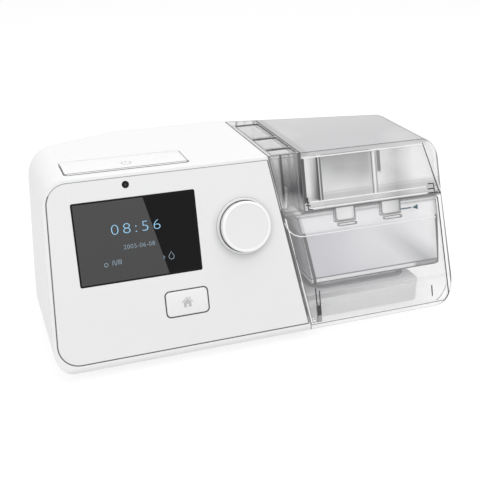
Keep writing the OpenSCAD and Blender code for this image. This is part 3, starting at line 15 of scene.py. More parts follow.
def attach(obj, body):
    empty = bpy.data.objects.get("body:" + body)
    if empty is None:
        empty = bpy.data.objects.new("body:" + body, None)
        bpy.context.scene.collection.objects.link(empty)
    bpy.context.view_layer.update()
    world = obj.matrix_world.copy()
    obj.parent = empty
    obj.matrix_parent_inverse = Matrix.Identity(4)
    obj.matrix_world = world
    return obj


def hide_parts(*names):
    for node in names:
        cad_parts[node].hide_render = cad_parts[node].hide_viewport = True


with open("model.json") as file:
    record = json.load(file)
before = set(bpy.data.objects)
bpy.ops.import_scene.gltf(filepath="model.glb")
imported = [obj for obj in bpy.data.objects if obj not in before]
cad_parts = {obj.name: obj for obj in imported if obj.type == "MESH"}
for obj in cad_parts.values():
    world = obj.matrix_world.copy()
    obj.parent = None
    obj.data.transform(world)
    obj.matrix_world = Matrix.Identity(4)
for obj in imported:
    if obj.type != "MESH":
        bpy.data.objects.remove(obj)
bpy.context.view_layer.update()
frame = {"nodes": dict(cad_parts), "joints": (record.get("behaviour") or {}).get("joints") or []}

bl_info = {
    "name": "Air pressure machine",
    "version": (1, 0, 0),
    "blender": (4, 5, 0),
    "location": "3D View > Sidebar > Air machine",
    "description": "Finishes and fine pieces of a bedside air pressure machine",
    "category": "Object",
}

MM = 0.001
SAME_PLACE = 1e-6
JOINTS = {joint["name"]: joint for joint in frame["joints"]}

# Directions of the frame, and of the leaning front panel
ACROSS = Vector((1, 0, 0))
BACK = Vector((0, 1, 0))
HIGH = Vector((0, 0, 1))
OUT = -Vector(JOINTS["home_press"]["axis"]).normalized()
UP = OUT.cross(ACROSS)
PANEL_TURN = Matrix((ACROSS, UP, OUT)).transposed().to_4x4()


def points_of(node):
    return [vertex.co for vertex in frame["nodes"][node].data.vertices]


def merged(node):
    """Copy of a CAD node's mesh with its doubled corners joined."""
    bm = bmesh.new()
    bm.from_mesh(frame["nodes"][node].data)
    bmesh.ops.remove_doubles(bm, verts=bm.verts, dist=SAME_PLACE)
    return bm


def span(node, direction):
    """Lowest and highest reach of a CAD node along a direction."""
    reach = [direction.dot(place) for place in points_of(node)]
    return min(reach), max(reach)


def middle(node, direction):
    return sum(span(node, direction)) / 2


def panel_point(x, v, n):
    """Point at x across, v up and n out of the panel, all measured from the frame's origin."""
    return ACROSS * x + UP * v + OUT * n


def on_panel(x, v, n):
    return Matrix.Translation(panel_point(x, v, n)) @ PANEL_TURN


def face_point(x, z):
    """Place across and up of the point of the panel's face that is z above the table."""
    y = (PANEL_FACE - OUT.z * z) / OUT.y
    return x, UP.y * y + UP.z * z


def box_of(node):
    """Lowest corner, highest corner and middle of a CAD node."""
    reach = [span(node, direction) for direction in (ACROSS, BACK, HIGH)]
    low, high = (Vector(corner) for corner in zip(*reach))
    return low, high, (low + high) / 2


def outline(node, direction, across, up, grown=0.0):
    """Points round a node's farthest face along a direction, measured across and up."""
    limit = span(node, direction)[1] - 0.05 * MM
    rim = [place for place in points_of(node) if direction.dot(place) > limit]
    points = [Vector((across.dot(place), up.dot(place))) for place in rim]
    hull = [points[k] for k in convex_hull_2d(points)]
    centre = sum(hull, Vector((0, 0))) / len(hull)
    return [point + Vector([math.copysign(grown, side) for side in point - centre])
            for point in hull]


def islands(node):
    """Middle (x, y) and foot of each separate solid of a node, from left to right."""
    bm = merged(node)
    left = set(bm.verts)
    found = []
    while left:
        front = [left.pop()]
        places = []
        while front:
            vert = front.pop()
            places.append(vert.co.copy())
            near = {edge.other_vert(vert) for edge in vert.link_edges} & left
            left -= near
            front.extend(near)
        xs, ys, zs = zip(*places)
        found.append(((min(xs) + max(xs)) / 2, (min(ys) + max(ys)) / 2, min(zs)))
    bm.free()
    return sorted(found)


PANEL_FACE = span("front_panel", OUT)[1]


def colour_setting(name, description, default):
    return FloatVectorProperty(
        name=name, description=description, subtype="COLOR", size=3, default=default)


def length_setting(name, description, default, low=0):
    return FloatProperty(
        name=name, description=description, unit="LENGTH", min=low, default=default)


def share_setting(name, description, default):
    return FloatProperty(
        name=name, description=description, subtype="FACTOR", min=0, max=1, default=default)


def angle_setting(name, description, degrees):
    return FloatProperty(
        name=name, description=description, subtype="ANGLE", unit="ROTATION",
        default=math.radians(degrees))


def power_setting(name, description, default):
    return FloatProperty(
        name=name, description=description, unit="POWER", min=0, default=default)


class StageSettings(bpy.types.PropertyGroup):
    eye: FloatVectorProperty(
        name="Eye", description="Place of the camera", subtype="TRANSLATION", unit="LENGTH",
        default=(-0.1695, -0.4791, 0.2719))
    yaw: angle_setting("Yaw", "Turn of the view from straight ahead to the right", 20.09)
    pitch: angle_setting("Pitch", "Tilt of the view below the horizon", 24.30)
    roll: angle_setting("Roll", "Turn of the picture about the view", 0.12)
    lens: FloatProperty(
        name="Lens", description="Focal length in millimetres", min=20, max=200, default=61.27)
    sky_level: FloatProperty(
        name="Sky", description="Strength of the even light from all round", min=0, max=2,
        default=0.68)
    key_power: power_setting("Key lamp", "Power of the large lamp overhead", 7.2)
    fill_power: power_setting("Front lamp", "Power of the lamp at the front left", 3.6)
    floor_size: length_setting("Floor", "Side of the floor", 6.0, 1)


class ShellSettings(bpy.types.PropertyGroup):
    casing_colour: colour_setting("Casing", "Colour of the glossy casing", (0.88, 0.88, 0.885))
    panel_colour: colour_setting("Panel", "Colour of the front panel", (0.85, 0.85, 0.853))
    key_colour: colour_setting("Keys", "Colour of knob and keys", (0.88, 0.88, 0.88))
    knob_colour: colour_setting("Knob", "Colour of the turning knob", (0.84, 0.84, 0.84))
    # Painted highlight: the knob's bevel is given this paler colour, as where it catches light.
    bevel_highlight_colour: colour_setting(
        "Knob bevel", "Colour of the bevel round the knob's face", (0.97, 0.97, 0.97))
    grey_colour: colour_setting(
        "Grey mouldings", "Colour of the grey mouldings", (0.66, 0.66, 0.67))
    soft_edge: length_setting(
        "Soft edge", "Rounding that shows along the edges of mouldings", 0.35 * MM)


class ControlSettings(bpy.types.PropertyGroup):
    # Also the width of the bevel's painted highlight.
    knob_rim: length_setting(
        "Knob bevel", "Width of the bright bevel round the knob's face", 1.7 * MM)
    knob_dish: length_setting("Knob dish", "Depth of the hollow in the knob's face", 0.25 * MM)
    key_fillet: length_setting("Key fillet", "Rounding of the upper edge of both keys", 0.45 * MM)
    joint_line: length_setting(
        "Joint line", "Width of the dark lines where mouldings meet", 0.55 * MM)


class DisplaySettings(bpy.types.PropertyGroup):
    clock: StringProperty(name="Clock", description="Plain numbers of the clock", default="08:56")
    date: StringProperty(name="Date", description="Plain numbers of the date", default="2005-06-08")
    clock_height: length_setting("Clock height", "Height of the clock's numbers", 6.2 * MM)
    date_height: length_setting("Date height", "Height of the date's numbers", 2.6 * MM)
    ink_colour: colour_setting("Numbers", "Colour of the numbers and signs", (0.32, 0.60, 0.84))
    pale_colour: colour_setting(
        "Small signs", "Colour of the date and the small signs", (0.26, 0.34, 0.40))
    # The lighter side is a painted reflection on the dark screen.
    reflection_side: colour_setting(
        "Light side", "Colour of the picture's lighter side", (0.070, 0.070, 0.072))
    dark_side: colour_setting(
        "Dark side", "Colour of the picture's darker side", (0.002, 0.002, 0.002))


class TankSettings(bpy.types.PropertyGroup):
    # Smoked grey that partly stands for the shade inside, seen through the top.
    lid_colour: colour_setting("Lid", "Colour of the smoked top of the lid", (0.58, 0.58, 0.59))
    clear_colour: colour_setting(
        "Clear plastic", "Colour of the clear mouldings", (0.90, 0.90, 0.905))
    duct_colour: colour_setting("Air duct", "Colour of the duct beside the lid", (0.40, 0.40, 0.41))
    # Partly a painted reflection of the heater plate seen in the tub.
    tub_colour: colour_setting("Tub", "Colour of the milky tub", (0.68, 0.68, 0.72))
    # Colour of the painted dark lines along clear edges, a painted reflection of dark surroundings.
    edge_shade_colour: colour_setting("Edges", "Colour that clear edges show", (0.05, 0.05, 0.053))
    lid_cover: share_setting("Lid cover", "How much the lid's top hides", 0.86)
    clear_cover: share_setting("Clear cover", "How much one clear wall hides", 0.24)
    edge_line: length_setting("Edge line", "Width of the dark line along clear edges", 1.3 * MM)


GROUPS = {
    "machine_stage": StageSettings,
    "machine_shell": ShellSettings,
    "machine_controls": ControlSettings,
    "machine_display": DisplaySettings,
    "machine_tank": TankSettings,
}


class Value:
    """A shader socket that takes part in sums."""

    def __init__(self, finish, socket):
        self.finish = finish
        self.socket = socket

    def __add__(self, other):
        return self.finish.math("ADD", self, other)

    def __sub__(self, other):
        return self.finish.math("SUBTRACT", self, other)

    def __rsub__(self, other):
        return self.finish.math("SUBTRACT", other, self)

    def __mul__(self, other):
        return self.finish.math("MULTIPLY", self, other)

    def __truediv__(self, other):
        return self.finish.math("DIVIDE", self, other)

    def __pow__(self, other):
        return self.finish.math("POWER", self, other)

    __radd__ = __add__
    __rmul__ = __mul__

    def above(self, limit):
        return self.finish.math("GREATER_THAN", self, limit)

    def below(self, limit):
        return self.finish.math("LESS_THAN", self, limit)

    def size(self):
        return self.finish.math("ABSOLUTE", self)

    def wave(self):
        return self.finish.math("SINE", self)

    def at_most(self, limit):
        return self.finish.math("MINIMUM", self, limit)

    def at_least(self, limit):
        return self.finish.math("MAXIMUM", self, limit)

    def clamp(self):
        return self.finish.math("ADD", self, 0, clamp=True)

    def rise(self, start, reach):
        """0 up to the start, and from there up to 1 over the reach."""
        return ((self - start) / reach).clamp()

    def step(self, limit, soft=0.15 * MM):
        """0 below a limit and 1 above it, with a soft border."""
        return ((self - limit) / soft + 0.5).clamp()


class Outputs:
    """The outputs of a node, each as a value."""

    def __init__(self, finish, node):
        self.finish = finish
        self.node = node

    def __getitem__(self, name):
        return Value(self.finish, self.node.outputs[name])


class Finish:
    """A material under construction."""

    def __init__(self, name):
        self.material = bpy.data.materials.new(name)
        self.material.use_nodes = True
        self.tree = self.material.node_tree
        self.tree.nodes.clear()
        self.place = self.node("ShaderNodeTexCoord")["Object"]

    def node(self, kind, settings=None, values=None):
        """Adds a node: its settings are set first, then its sockets get their values or links."""
        node = self.tree.nodes.new(kind)
        for name, setting in (settings or {}).items():
            setattr(node, name, setting)
        named = {socket.identifier: socket for socket in node.inputs}
        for name, value in (values or {}).items():
            socket = named[name] if name in named else node.inputs[name]
            if isinstance(value, Value):
                self.tree.links.new(value.socket, socket)
            elif hasattr(value, "__len__") and len(socket.default_value) == 4:
                socket.default_value = (*value[:3], 1)
            else:
                socket.default_value = value
        return Outputs(self, node)

    def math(self, operation, first, second=0, clamp=False):
        settings = {"operation": operation, "use_clamp": clamp}
        return self.node("ShaderNodeMath", settings, {0: first, 1: second})["Value"]

    def noise(self, grain, detail=2.0, roughness=0.5, stretch=None):
        """Noise from 0 to 1 whose blobs are about grain metres wide, drawn out along stretch."""
        place = self.place
        if stretch:
            values = {"Vector": place, "Scale": stretch}
            place = self.node("ShaderNodeMapping", None, values)["Vector"]
        values = {"Vector": place, "Scale": 1 / grain, "Detail": detail, "Roughness": roughness}
        return self.node("ShaderNodeTexNoise", {"noise_dimensions": "3D"}, values)["Fac"]

    def cells(self, grain):
        values = {"Vector": self.place, "Scale": 1 / grain}
        return self.node("ShaderNodeTexVoronoi", {"feature": "F1"}, values)["Distance"]

    def dot(self, first, second):
        values = {0: first, 1: second}
        return self.node("ShaderNodeVectorMath", {"operation": "DOT_PRODUCT"}, values)["Value"]

    def coordinate(self, direction):
        """How far a point lies along a direction."""
        return self.dot(self.place, tuple(direction))

    def away(self, x, v):
        """Distance from the axis that stands on the panel at x across and v up."""
        across = self.coordinate(ACROSS) - x
        up = self.coordinate(UP) - v
        return (across * across + up * up) ** 0.5

    def blend(self, share, first, second):
        """Colour that goes from first to second as share goes from 0 to 1."""
        values = {"Factor_Float": share, "A_Color": first, "B_Color": second}
        return Value(self, self.node("ShaderNodeMix", {"data_type": "RGBA"}, values).node.outputs[2])

    def soft_edges(self, width):
        return self.node("ShaderNodeBevel", {"samples": 6}, {"Radius": width})["Normal"]

    def edge_share(self, width):
        """1 close to a sharp edge and 0 away from it."""
        flat = self.node("ShaderNodeNewGeometry")["True Normal"]
        agreement = self.dot(self.soft_edges(width), flat)
        contrast = 9
        return ((1 - agreement.size()) * contrast).clamp()

    def relief(self, height, depth, base=None):
        """Normal of a surface with bumps of that height pattern, depth metres deep."""
        values = {"Height": height, "Distance": depth, "Strength": 1.0}
        if base:
            values["Normal"] = base
        return self.node("ShaderNodeBump", None, values)["Normal"]

    def faces(self, direction, limit=0.9):
        """1 on the faces that look along a direction."""
        flat = self.node("ShaderNodeNewGeometry")["True Normal"]
        return self.dot(flat, tuple(direction)).above(limit)

    def stripe(self, value, centre, half):
        """1 where a value lies within half of a centre, with soft borders."""
        return (((value - centre).size() * -1 + half) / (0.25 * MM) + 0.5).clamp()

    def surface(self, **values):
        """Closes the material with one principled shader. Spaces of socket names are underscores."""
        named = {name.replace("_", " "): value for name, value in values.items()}
        shader = self.node("ShaderNodeBsdfPrincipled", None, named)["BSDF"]
        self.node("ShaderNodeOutputMaterial", None, {"Surface": shader})
        return self.material


def toned(colour, share):
    """A share of a colour's strength."""
    return [part * share for part in colour]


def moulded(name, colour, gloss, coat=0.0, painted_shadow=None):
    """Injection moulded plastic: a fine spark-eroded skin, slow gloss changes and softened edges.

    An optional painted shadow, round and soft, is given by its place across and up the panel, its
    radius, reach and strength.
    """
    finish = Finish(name)
    cloud = finish.noise(22 * MM, 3)
    skin = finish.noise(0.45 * MM, 4, 0.6)
    rounded = finish.soft_edges(bpy.context.scene.machine_shell.soft_edge)
    body = finish.blend(cloud, tuple(colour), toned(colour, 0.975))
    if painted_shadow:
        x, v, radius, reach, strength = painted_shadow
        # Painted shadow: darkest next to the round's radius, fading out over the reach.
        near = (1 - (finish.away(x, v) - radius) / reach).clamp()
        body = finish.blend(near * near * strength, body, toned(colour, 0.45))
    return finish.surface(
        Base_Color=body, Roughness=cloud * 0.06 + (gloss - 0.03),
        Normal=finish.relief(skin, 0.006 * MM, rounded), Coat_Weight=coat, Coat_Roughness=0.08,
        Specular_IOR_Level=0.45)


def clear(name, colour, cover, line=0.85, width=None, glance=0.25, paint=None):
    """Clear plastic: walls hide a little, and their edges and turning surfaces show painted dark lines,
    a painted reflection of dark surroundings.

    paint may change the colour, the cover and the lines: it takes the finish and those three.
    """
    finish = Finish(name)
    tank = bpy.context.scene.machine_tank
    facing = finish.node("ShaderNodeLayerWeight", None, {"Blend": 0.5})["Facing"]
    # Painted dark lines along the edges and where the surface turns from view.
    thread = finish.edge_share(width or tank.edge_line).at_least(facing ** 7)
    ripple = finish.noise(9 * MM, 2)
    body = finish.blend(ripple, tuple(colour), toned(colour, 0.97))
    hide = (facing ** 3) * glance + ripple * 0.02 + (cover - 0.01)
    if paint:
        body, hide, thread = paint(finish, body, hide, thread)
    lamp = finish.node("ShaderNodeLightPath")["Is Shadow Ray"]
    alpha = (hide + thread * line).clamp() * (1 - lamp * 0.75)
    return finish.surface(
        Base_Color=finish.blend(thread * 0.9, body, tuple(tank.edge_shade_colour)),
        Roughness=ripple * 0.04 + 0.08, Alpha=alpha, Specular_IOR_Level=0.0,
        Coat_Weight=((1 - thread) * 0.45).clamp(), Coat_Roughness=0.04,
        Normal=finish.relief(ripple, 0.02 * MM, finish.soft_edges(0.3 * MM)))


def display_painted_reflection(name):
    """Dark screen under gloss with a painted reflection: a lighter reflected side and a darker side that
    meet along a slanting line.
    """
    settings = bpy.context.scene.machine_display
    finish = Finish(name)
    x = finish.coordinate(ACROSS)
    v = finish.coordinate(UP)
    left, right = span("screen_window", ACROSS)
    foot, head = span("screen_window", UP)
    # Slanting line between the painted reflection and the darker side.
    top_x = left + (right - left) * 0.568
    foot_x = left + (right - left) * 0.725
    line = (v - foot) * ((top_x - foot_x) / (head - foot)) + foot_x
    side = x.step(line)
    margin = 0.9 * MM
    inside = ((x - left).at_most(right - x)).at_most((v - foot).at_most(head - v))
    border = inside.below(margin)
    picture = finish.blend(side, tuple(settings.reflection_side), tuple(settings.dark_side))
    colour = finish.blend(border, picture, (0.004, 0.004, 0.004))
    smear = finish.noise(14 * MM, 2)
    return finish.surface(
        Base_Color=colour, Roughness=smear * 0.05 + 0.07, Specular_IOR_Level=0.16,
        Normal=finish.soft_edges(0.3 * MM))


def ink(name, colour, glow=0.0):
    """Printed or lit line: faintly uneven where the ink was laid."""
    finish = Finish(name)
    spread = finish.noise(0.6 * MM, 2)
    tone = finish.blend(spread, tuple(colour), toned(colour, 0.9))
    values = {"Base_Color": tone, "Roughness": spread * 0.1 + 0.4, "Specular_IOR_Level": 0.2}
    if glow:
        values.update(Emission_Color=tone, Emission_Strength=glow)
    return finish.surface(**values)


def brushed(name, colour, gloss=0.32, along=(1, 40, 40)):
    """Brushed or turned metal: fine scratches along one direction."""
    finish = Finish(name)
    scratch = finish.noise(6 * MM, 4, 0.7, along)
    return finish.surface(
        Base_Color=finish.blend(scratch, tuple(colour), toned(colour, 0.85)), Metallic=1.0,
        Roughness=scratch * 0.22 + (gloss - 0.11),
        Normal=finish.relief(scratch, 0.01 * MM, finish.soft_edges(0.2 * MM)))


def knob_finish(name, colour, bevel_highlight_colour, x, v, inner):
    """Satin face inside a glossy bevel, as on a turned and polished cap; the bevel's brightness is a
    painted highlight in a paler colour.
    """
    finish = Finish(name)
    # Painted highlight: 1 on the bevel outside the inner radius, where the paler colour goes.
    rim = finish.away(x, v).step(inner)
    skin = finish.noise(0.4 * MM, 3, 0.6)
    return finish.surface(
        Base_Color=finish.blend(rim, tuple(colour), tuple(bevel_highlight_colour)),
        Roughness=0.42 - rim * 0.22,
        Normal=finish.relief(skin, 0.004 * MM, finish.soft_edges(0.25 * MM)),
        Specular_IOR_Level=0.45, Coat_Weight=rim * 0.5, Coat_Roughness=0.05)


def rubber(name, colour):
    """Soft rubber: matt, with a fine pitted skin and dusty paler patches."""
    finish = Finish(name)
    pits = finish.noise(0.8 * MM, 4, 0.65)
    dust = (finish.noise(7 * MM, 3) - 0.45).clamp()
    pale = [min(1, part * 1.5 + 0.03) for part in colour]
    return finish.surface(
        Base_Color=finish.blend(dust, tuple(colour), pale), Roughness=dust * 0.2 + 0.66,
        Normal=finish.relief(pits, 0.03 * MM, finish.soft_edges(0.3 * MM)), Specular_IOR_Level=0.3)


def open_foam(name, colour):
    """Open-cell foam: round pores painted dark as painted shade in the holes, with thin bright walls
    between them.
    """
    finish = Finish(name)
    pores = finish.cells(1.1 * MM)
    wall = (pores * 1.6 - 0.3).clamp()
    return finish.surface(
        Base_Color=finish.blend(wall, toned(colour, 0.25), tuple(colour)), Roughness=0.9,
        Normal=finish.relief(pores, 0.4 * MM), Specular_IOR_Level=0.15)


def felt(name, colour):
    """Filter felt: short fibres lying every way, with a soft nap."""
    finish = Finish(name)
    lying = finish.noise(0.9 * MM, 4, 0.75, (1, 1, 7))
    crossing = finish.noise(0.9 * MM, 4, 0.75, (7, 1, 1))
    fibres = lying.at_least(crossing)
    return finish.surface(
        Base_Color=finish.blend(fibres, toned(colour, 0.72), tuple(colour)), Roughness=0.95,
        Normal=finish.relief(fibres, 0.25 * MM), Sheen_Weight=0.4, Specular_IOR_Level=0.1)


def board_lacquer(name):
    """Circuit board: solder lacquer over copper tracks, with tinned pads."""
    finish = Finish(name)
    x = finish.coordinate(ACROSS)
    v = finish.coordinate(UP)
    wander = finish.noise(11 * MM, 1) * 9
    tracks = ((x * 2600 + wander).wave() + (v * 1900 - wander).wave() * 0.5).above(0.75)
    pads = finish.cells(4.2 * MM).below(0.16)
    lacquer = finish.blend(tracks, (0.010, 0.105, 0.045), (0.03, 0.21, 0.09))
    colour = finish.blend(pads, lacquer, (0.72, 0.70, 0.62))
    return finish.surface(
        Base_Color=colour, Roughness=0.34 - pads * 0.08, Metallic=pads * 0.9,
        Normal=finish.relief(tracks * 0.5 + pads, 0.03 * MM))


def winding(name, colour):
    """Enamelled copper: turns of wire side by side, with painted shade in the grooves between turns."""
    finish = Finish(name)
    pitch = 0.5 * MM
    turns = (finish.coordinate(HIGH) * (2 * math.pi / pitch)).wave()
    dark = toned(colour, 0.5)
    return finish.surface(
        Base_Color=finish.blend(turns * 0.5 + 0.5, dark, tuple(colour)), Metallic=0.85,
        Roughness=0.34 - turns * 0.05, Normal=finish.relief(turns, 0.12 * MM))


def flat_cable(name):
    """Flat cable: grey cores side by side with one coloured edge, and painted shade in the grooves
    between cores.
    """
    finish = Finish(name)
    x = finish.coordinate(ACROSS) - span("ribbon_cable", ACROSS)[0]
    pitch = 1.27 * MM
    cores = (x * (2 * math.pi / pitch)).wave()
    mark = x.below(pitch)
    grey = finish.blend(cores * 0.5 + 0.5, (0.42, 0.42, 0.44), (0.6, 0.6, 0.62))
    colour = finish.blend(mark, grey, (0.55, 0.05, 0.04))
    return finish.surface(
        Base_Color=colour, Roughness=0.5 - cores * 0.05, Normal=finish.relief(cores, 0.25 * MM))


def floor_finish(name):
    """White floor: pure white to the camera except for a faint shadow of the object."""
    finish = Finish(name)
    path = finish.node("ShaderNodeLightPath")
    seen = path["Is Camera Ray"].at_least(path["Is Glossy Ray"])
    seen = seen.at_least(path["Is Transmission Ray"])
    paper = finish.noise(60 * MM, 2)
    tone = finish.blend(paper, (0.34, 0.34, 0.34), (0.35, 0.35, 0.35))
    return finish.surface(
        Base_Color=tone, Roughness=0.9, Specular_IOR_Level=0.0, Emission_Color=(1, 1, 1),
        Emission_Strength=seen * 0.32 + 0.40)


def sharpen(bm, angle):
    """Marks the edges that stay crisp, and smooths the rest."""
    limit = math.radians(angle)
    for face in bm.faces:
        face.smooth = True
    for edge in bm.edges:
        edge.smooth = len(edge.link_faces) == 2 and edge.calc_face_angle(0) < limit


def bevel(bm, edges, width, segments=3):
    return bmesh.ops.bevel(
        bm, geom=list(edges), offset=width, offset_type="OFFSET", affect="EDGES", segments=segments,
        profile=0.5, material=-1, clamp_overlap=True)


def block(width, length, height, corner=0.0, rim=0.0, corner_steps=6):
    """Block about the origin, standing on z 0, with rounded corners and a softened upper rim."""
    bm = bmesh.new()
    size = Matrix.Diagonal((width, length, height, 1))
    bmesh.ops.create_cube(bm, size=1, matrix=Matrix.Translation((0, 0, height / 2)) @ size)
    if corner:
        upright = [e for e in bm.edges if abs(e.verts[0].co.z - e.verts[1].co.z) > height / 2]
        bevel(bm, upright, corner, corner_steps)
    if rim:
        top = [e for e in bm.edges if min(v.co.z for v in e.verts) > height * 0.999]
        bevel(bm, top, rim, 4)
    return bm


def lathe(profile, steps=96):
    """Closed ring or disc: the profile's points (radius, height) are spun about Z."""
    bm = bmesh.new()
    points = [bm.verts.new((radius, 0, height)) for radius, height in profile]
    pairs = list(zip(points, points[1:]))
    if profile[0][0] > 0 or profile[-1][0] > 0:
        pairs.append((points[-1], points[0]))
    edges = [bm.edges.new(pair) for pair in pairs]
    bmesh.ops.spin(
        bm, geom=points + edges, cent=(0, 0, 0), axis=(0, 0, 1), dvec=(0, 0, 0),
        angle=2 * math.pi, steps=steps, use_merge=True, use_duplicate=False)
    bmesh.ops.remove_doubles(bm, verts=bm.verts, dist=1e-7)
    bmesh.ops.recalc_face_normals(bm, faces=bm.faces)
    return bm


def arc(centre, radius, start, end, steps=5):
    """Points of an arc in a profile, from one angle in degrees to another."""
    turns = [math.radians(start + (end - start) * k / steps) for k in range(steps + 1)]
    return [(centre[0] + radius * math.cos(t), centre[1] + radius * math.sin(t)) for t in turns]


def ring(centre, radius, start=0, end=360, steps=28):
    """Points round a circle or part of it, with no doubled end on a full turn."""
    points = arc(centre, radius, start, end, steps)
    return points[:-1] if end - start >= 360 else points


def piece(name, bm, place, material, body, replaced=(), crisp=30):
    """Puts a finished mesh in its place in the frame and lets it ride on its body."""
    bm.transform(place)
    bmesh.ops.recalc_face_normals(bm, faces=bm.faces)
    sharpen(bm, crisp)
    mesh = bpy.data.meshes.new(name)
    bm.to_mesh(mesh)
    bm.free()
    return settle(name, mesh, material, body, replaced)


def settle(name, mesh, material, body, replaced=()):
    mesh.materials.clear()
    mesh.materials.append(material)
    obj = bpy.data.objects.new(name, mesh)
    bpy.context.scene.collection.objects.link(obj)
    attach(obj, body)
    if replaced:
        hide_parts(*replaced)
    return obj


def from_curve(name, curve, place, material, body):
    """Makes a curve or text a mesh in its place, and removes the curve again."""
    helper = bpy.data.objects.new("helper", curve)
    bpy.context.scene.collection.objects.link(helper)
    depsgraph = bpy.context.evaluated_depsgraph_get()
    mesh = bpy.data.meshes.new_from_object(helper.evaluated_get(depsgraph))
    bpy.data.objects.remove(helper)
    bpy.data.curves.remove(curve)
    mesh.name = name
    mesh.transform(place)
    return settle(name, mesh, material, body)


def trace(curve, strokes):
    """Adds strokes to a curve: each is a list of points and whether it closes."""
    for points, closed in strokes:
        spline = curve.splines.new("POLY")
        spline.points.add(len(points) - 1)
        for point, (x, y) in zip(spline.points, points):
            point.co = (x, y, 0, 1)
        spline.use_cyclic_u = closed


def cut_plate(name, outer, holes, thick, place, material, body):
    """Flat plate with its holes, standing on its place."""
    curve = bpy.data.curves.new(name, "CURVE")
    curve.dimensions = "2D"
    curve.fill_mode = "BOTH"
    curve.extrude = thick / 2
    trace(curve, [(points, True) for points in (outer, *holes)])
    raised = place @ Matrix.Translation((0, 0, thick / 2))
    return from_curve(name, curve, raised, material, body)


def eased(name, node, direction, width, material, body):
    """A CAD node's own shape with its farthest face's rim rounded, in the node's place."""
    bm = merged(node)
    bmesh.ops.dissolve_limit(bm, angle_limit=0.01, verts=bm.verts, edges=bm.edges)
    limit = max(direction.dot(vert.co) for vert in bm.verts) - 0.02 * MM
    rim = [edge for edge in bm.edges if min(direction.dot(vert.co) for vert in edge.verts) > limit
           and edge.calc_face_angle(0) > 0.5]
    bevel(bm, rim, width)
    return piece(name, bm, Matrix.Identity(4), material, body, (node,))


def line_art(name, strokes, width, place, material, body, high=0.06 * MM):
    """Thin raised lines that follow strokes, for printed signs, for the joints of mouldings, and for
    painted highlights and shade.
    """
    curve = bpy.data.curves.new(name, "CURVE")
    curve.dimensions = "3D"
    curve.bevel_depth = width / 2
    curve.bevel_resolution = 2
    curve.use_fill_caps = True
    trace(curve, strokes)
    thin = Matrix.Diagonal((1, 1, high / width, 1))
    return from_curve(name, curve, place @ thin, material, body)


def numbers(name, text, height, place, material, body, spacing, weight):
    """Plain numbers as a thin raised mesh, centred on their place."""
    curve = bpy.data.curves.new(name, "FONT")
    curve.body = text
    size_of_height = 1.42
    curve.size = height * size_of_height
    curve.align_x = "CENTER"
    curve.align_y = "CENTER"
    curve.space_character = spacing
    curve.extrude = 0.02 * MM
    curve.resolution_u = 6
    curve.offset = weight
    return from_curve(name, curve, place, material, body)


def dress(material, *nodes):
    """Gives CAD nodes a material."""
    for node in nodes:
        slots = frame["nodes"][node].data.materials
        slots.clear()
        slots.append(material)


class MACHINE_OT_casing(bpy.types.Operator):
    """Finish the casing, the panel and the mouldings that carry them"""
    bl_idname = "machine.casing"
    bl_label = "Casing"

    def execute(self, context):
        shell = context.scene.machine_shell
        line = context.scene.machine_controls.joint_line
        white = moulded("casing_white", shell.casing_colour, 0.32)
        dress(white, "upper_casing")
        # Painted shadow of the knob and its collar, round them on the panel.
        left, right = span("knob_collar", ACROSS)
        painted_shadow = ((left + right) / 2 - 0.6 * MM, middle("knob_collar", UP) - 0.8 * MM, (right - left) / 2,
                5 * MM, 0.34)
        dress(moulded("panel_white", shell.panel_colour, 0.46, painted_shadow=painted_shadow), "front_panel")
        dress(moulded("post_white", shell.key_colour, 0.28), "latch_post")
        grey = moulded("moulding_grey", shell.grey_colour, 0.42)
        dress(grey, "base_tray", "blower_cradle", "inlet_muffler")
        dress(moulded("heater_grey", (0.74, 0.74, 0.745), 0.42), "heater_base")
        pale = moulded("housing_pale", (0.74, 0.74, 0.76), 0.36)
        dress(pale, "volute_lower", "volute_upper", "outlet_duct", "impeller")
        shade = ink("joint_shade", (0.16, 0.16, 0.165))
        self.joint(shade, line)
        eased("filter_flap", "filter_door", BACK, 0.5 * MM, white, "filter_door")
        return {"FINISHED"}

    def joint(self, shade, line):
        """Joint round the panel: dark below and at the side, paler where it catches light on top."""
        rim = outline("front_panel", OUT, ACROSS, UP)
        start = max(range(len(rim)), key=lambda k: rim[k].x + rim[k].y)
        rim = rim[start:] + rim[:start]
        if rim[1].x > rim[-1].x:
            rim = rim[:1] + rim[:0:-1]
        left = min(point.x for point in rim)
        bend = next(k for k, point in enumerate(rim) if point.x < left + 6 * MM)
        pale = ink("joint_pale", (0.36, 0.36, 0.365))
        place = on_panel(0, 0, PANEL_FACE - 0.02 * MM)
        line_art("panel_joint_top", [(rim[:bend + 1], False)], line * 1.2, place, pale, "main_unit")
        line_art("panel_joint_low", [(rim[bend:], False)], line * 1.9, place, shade, "main_unit")


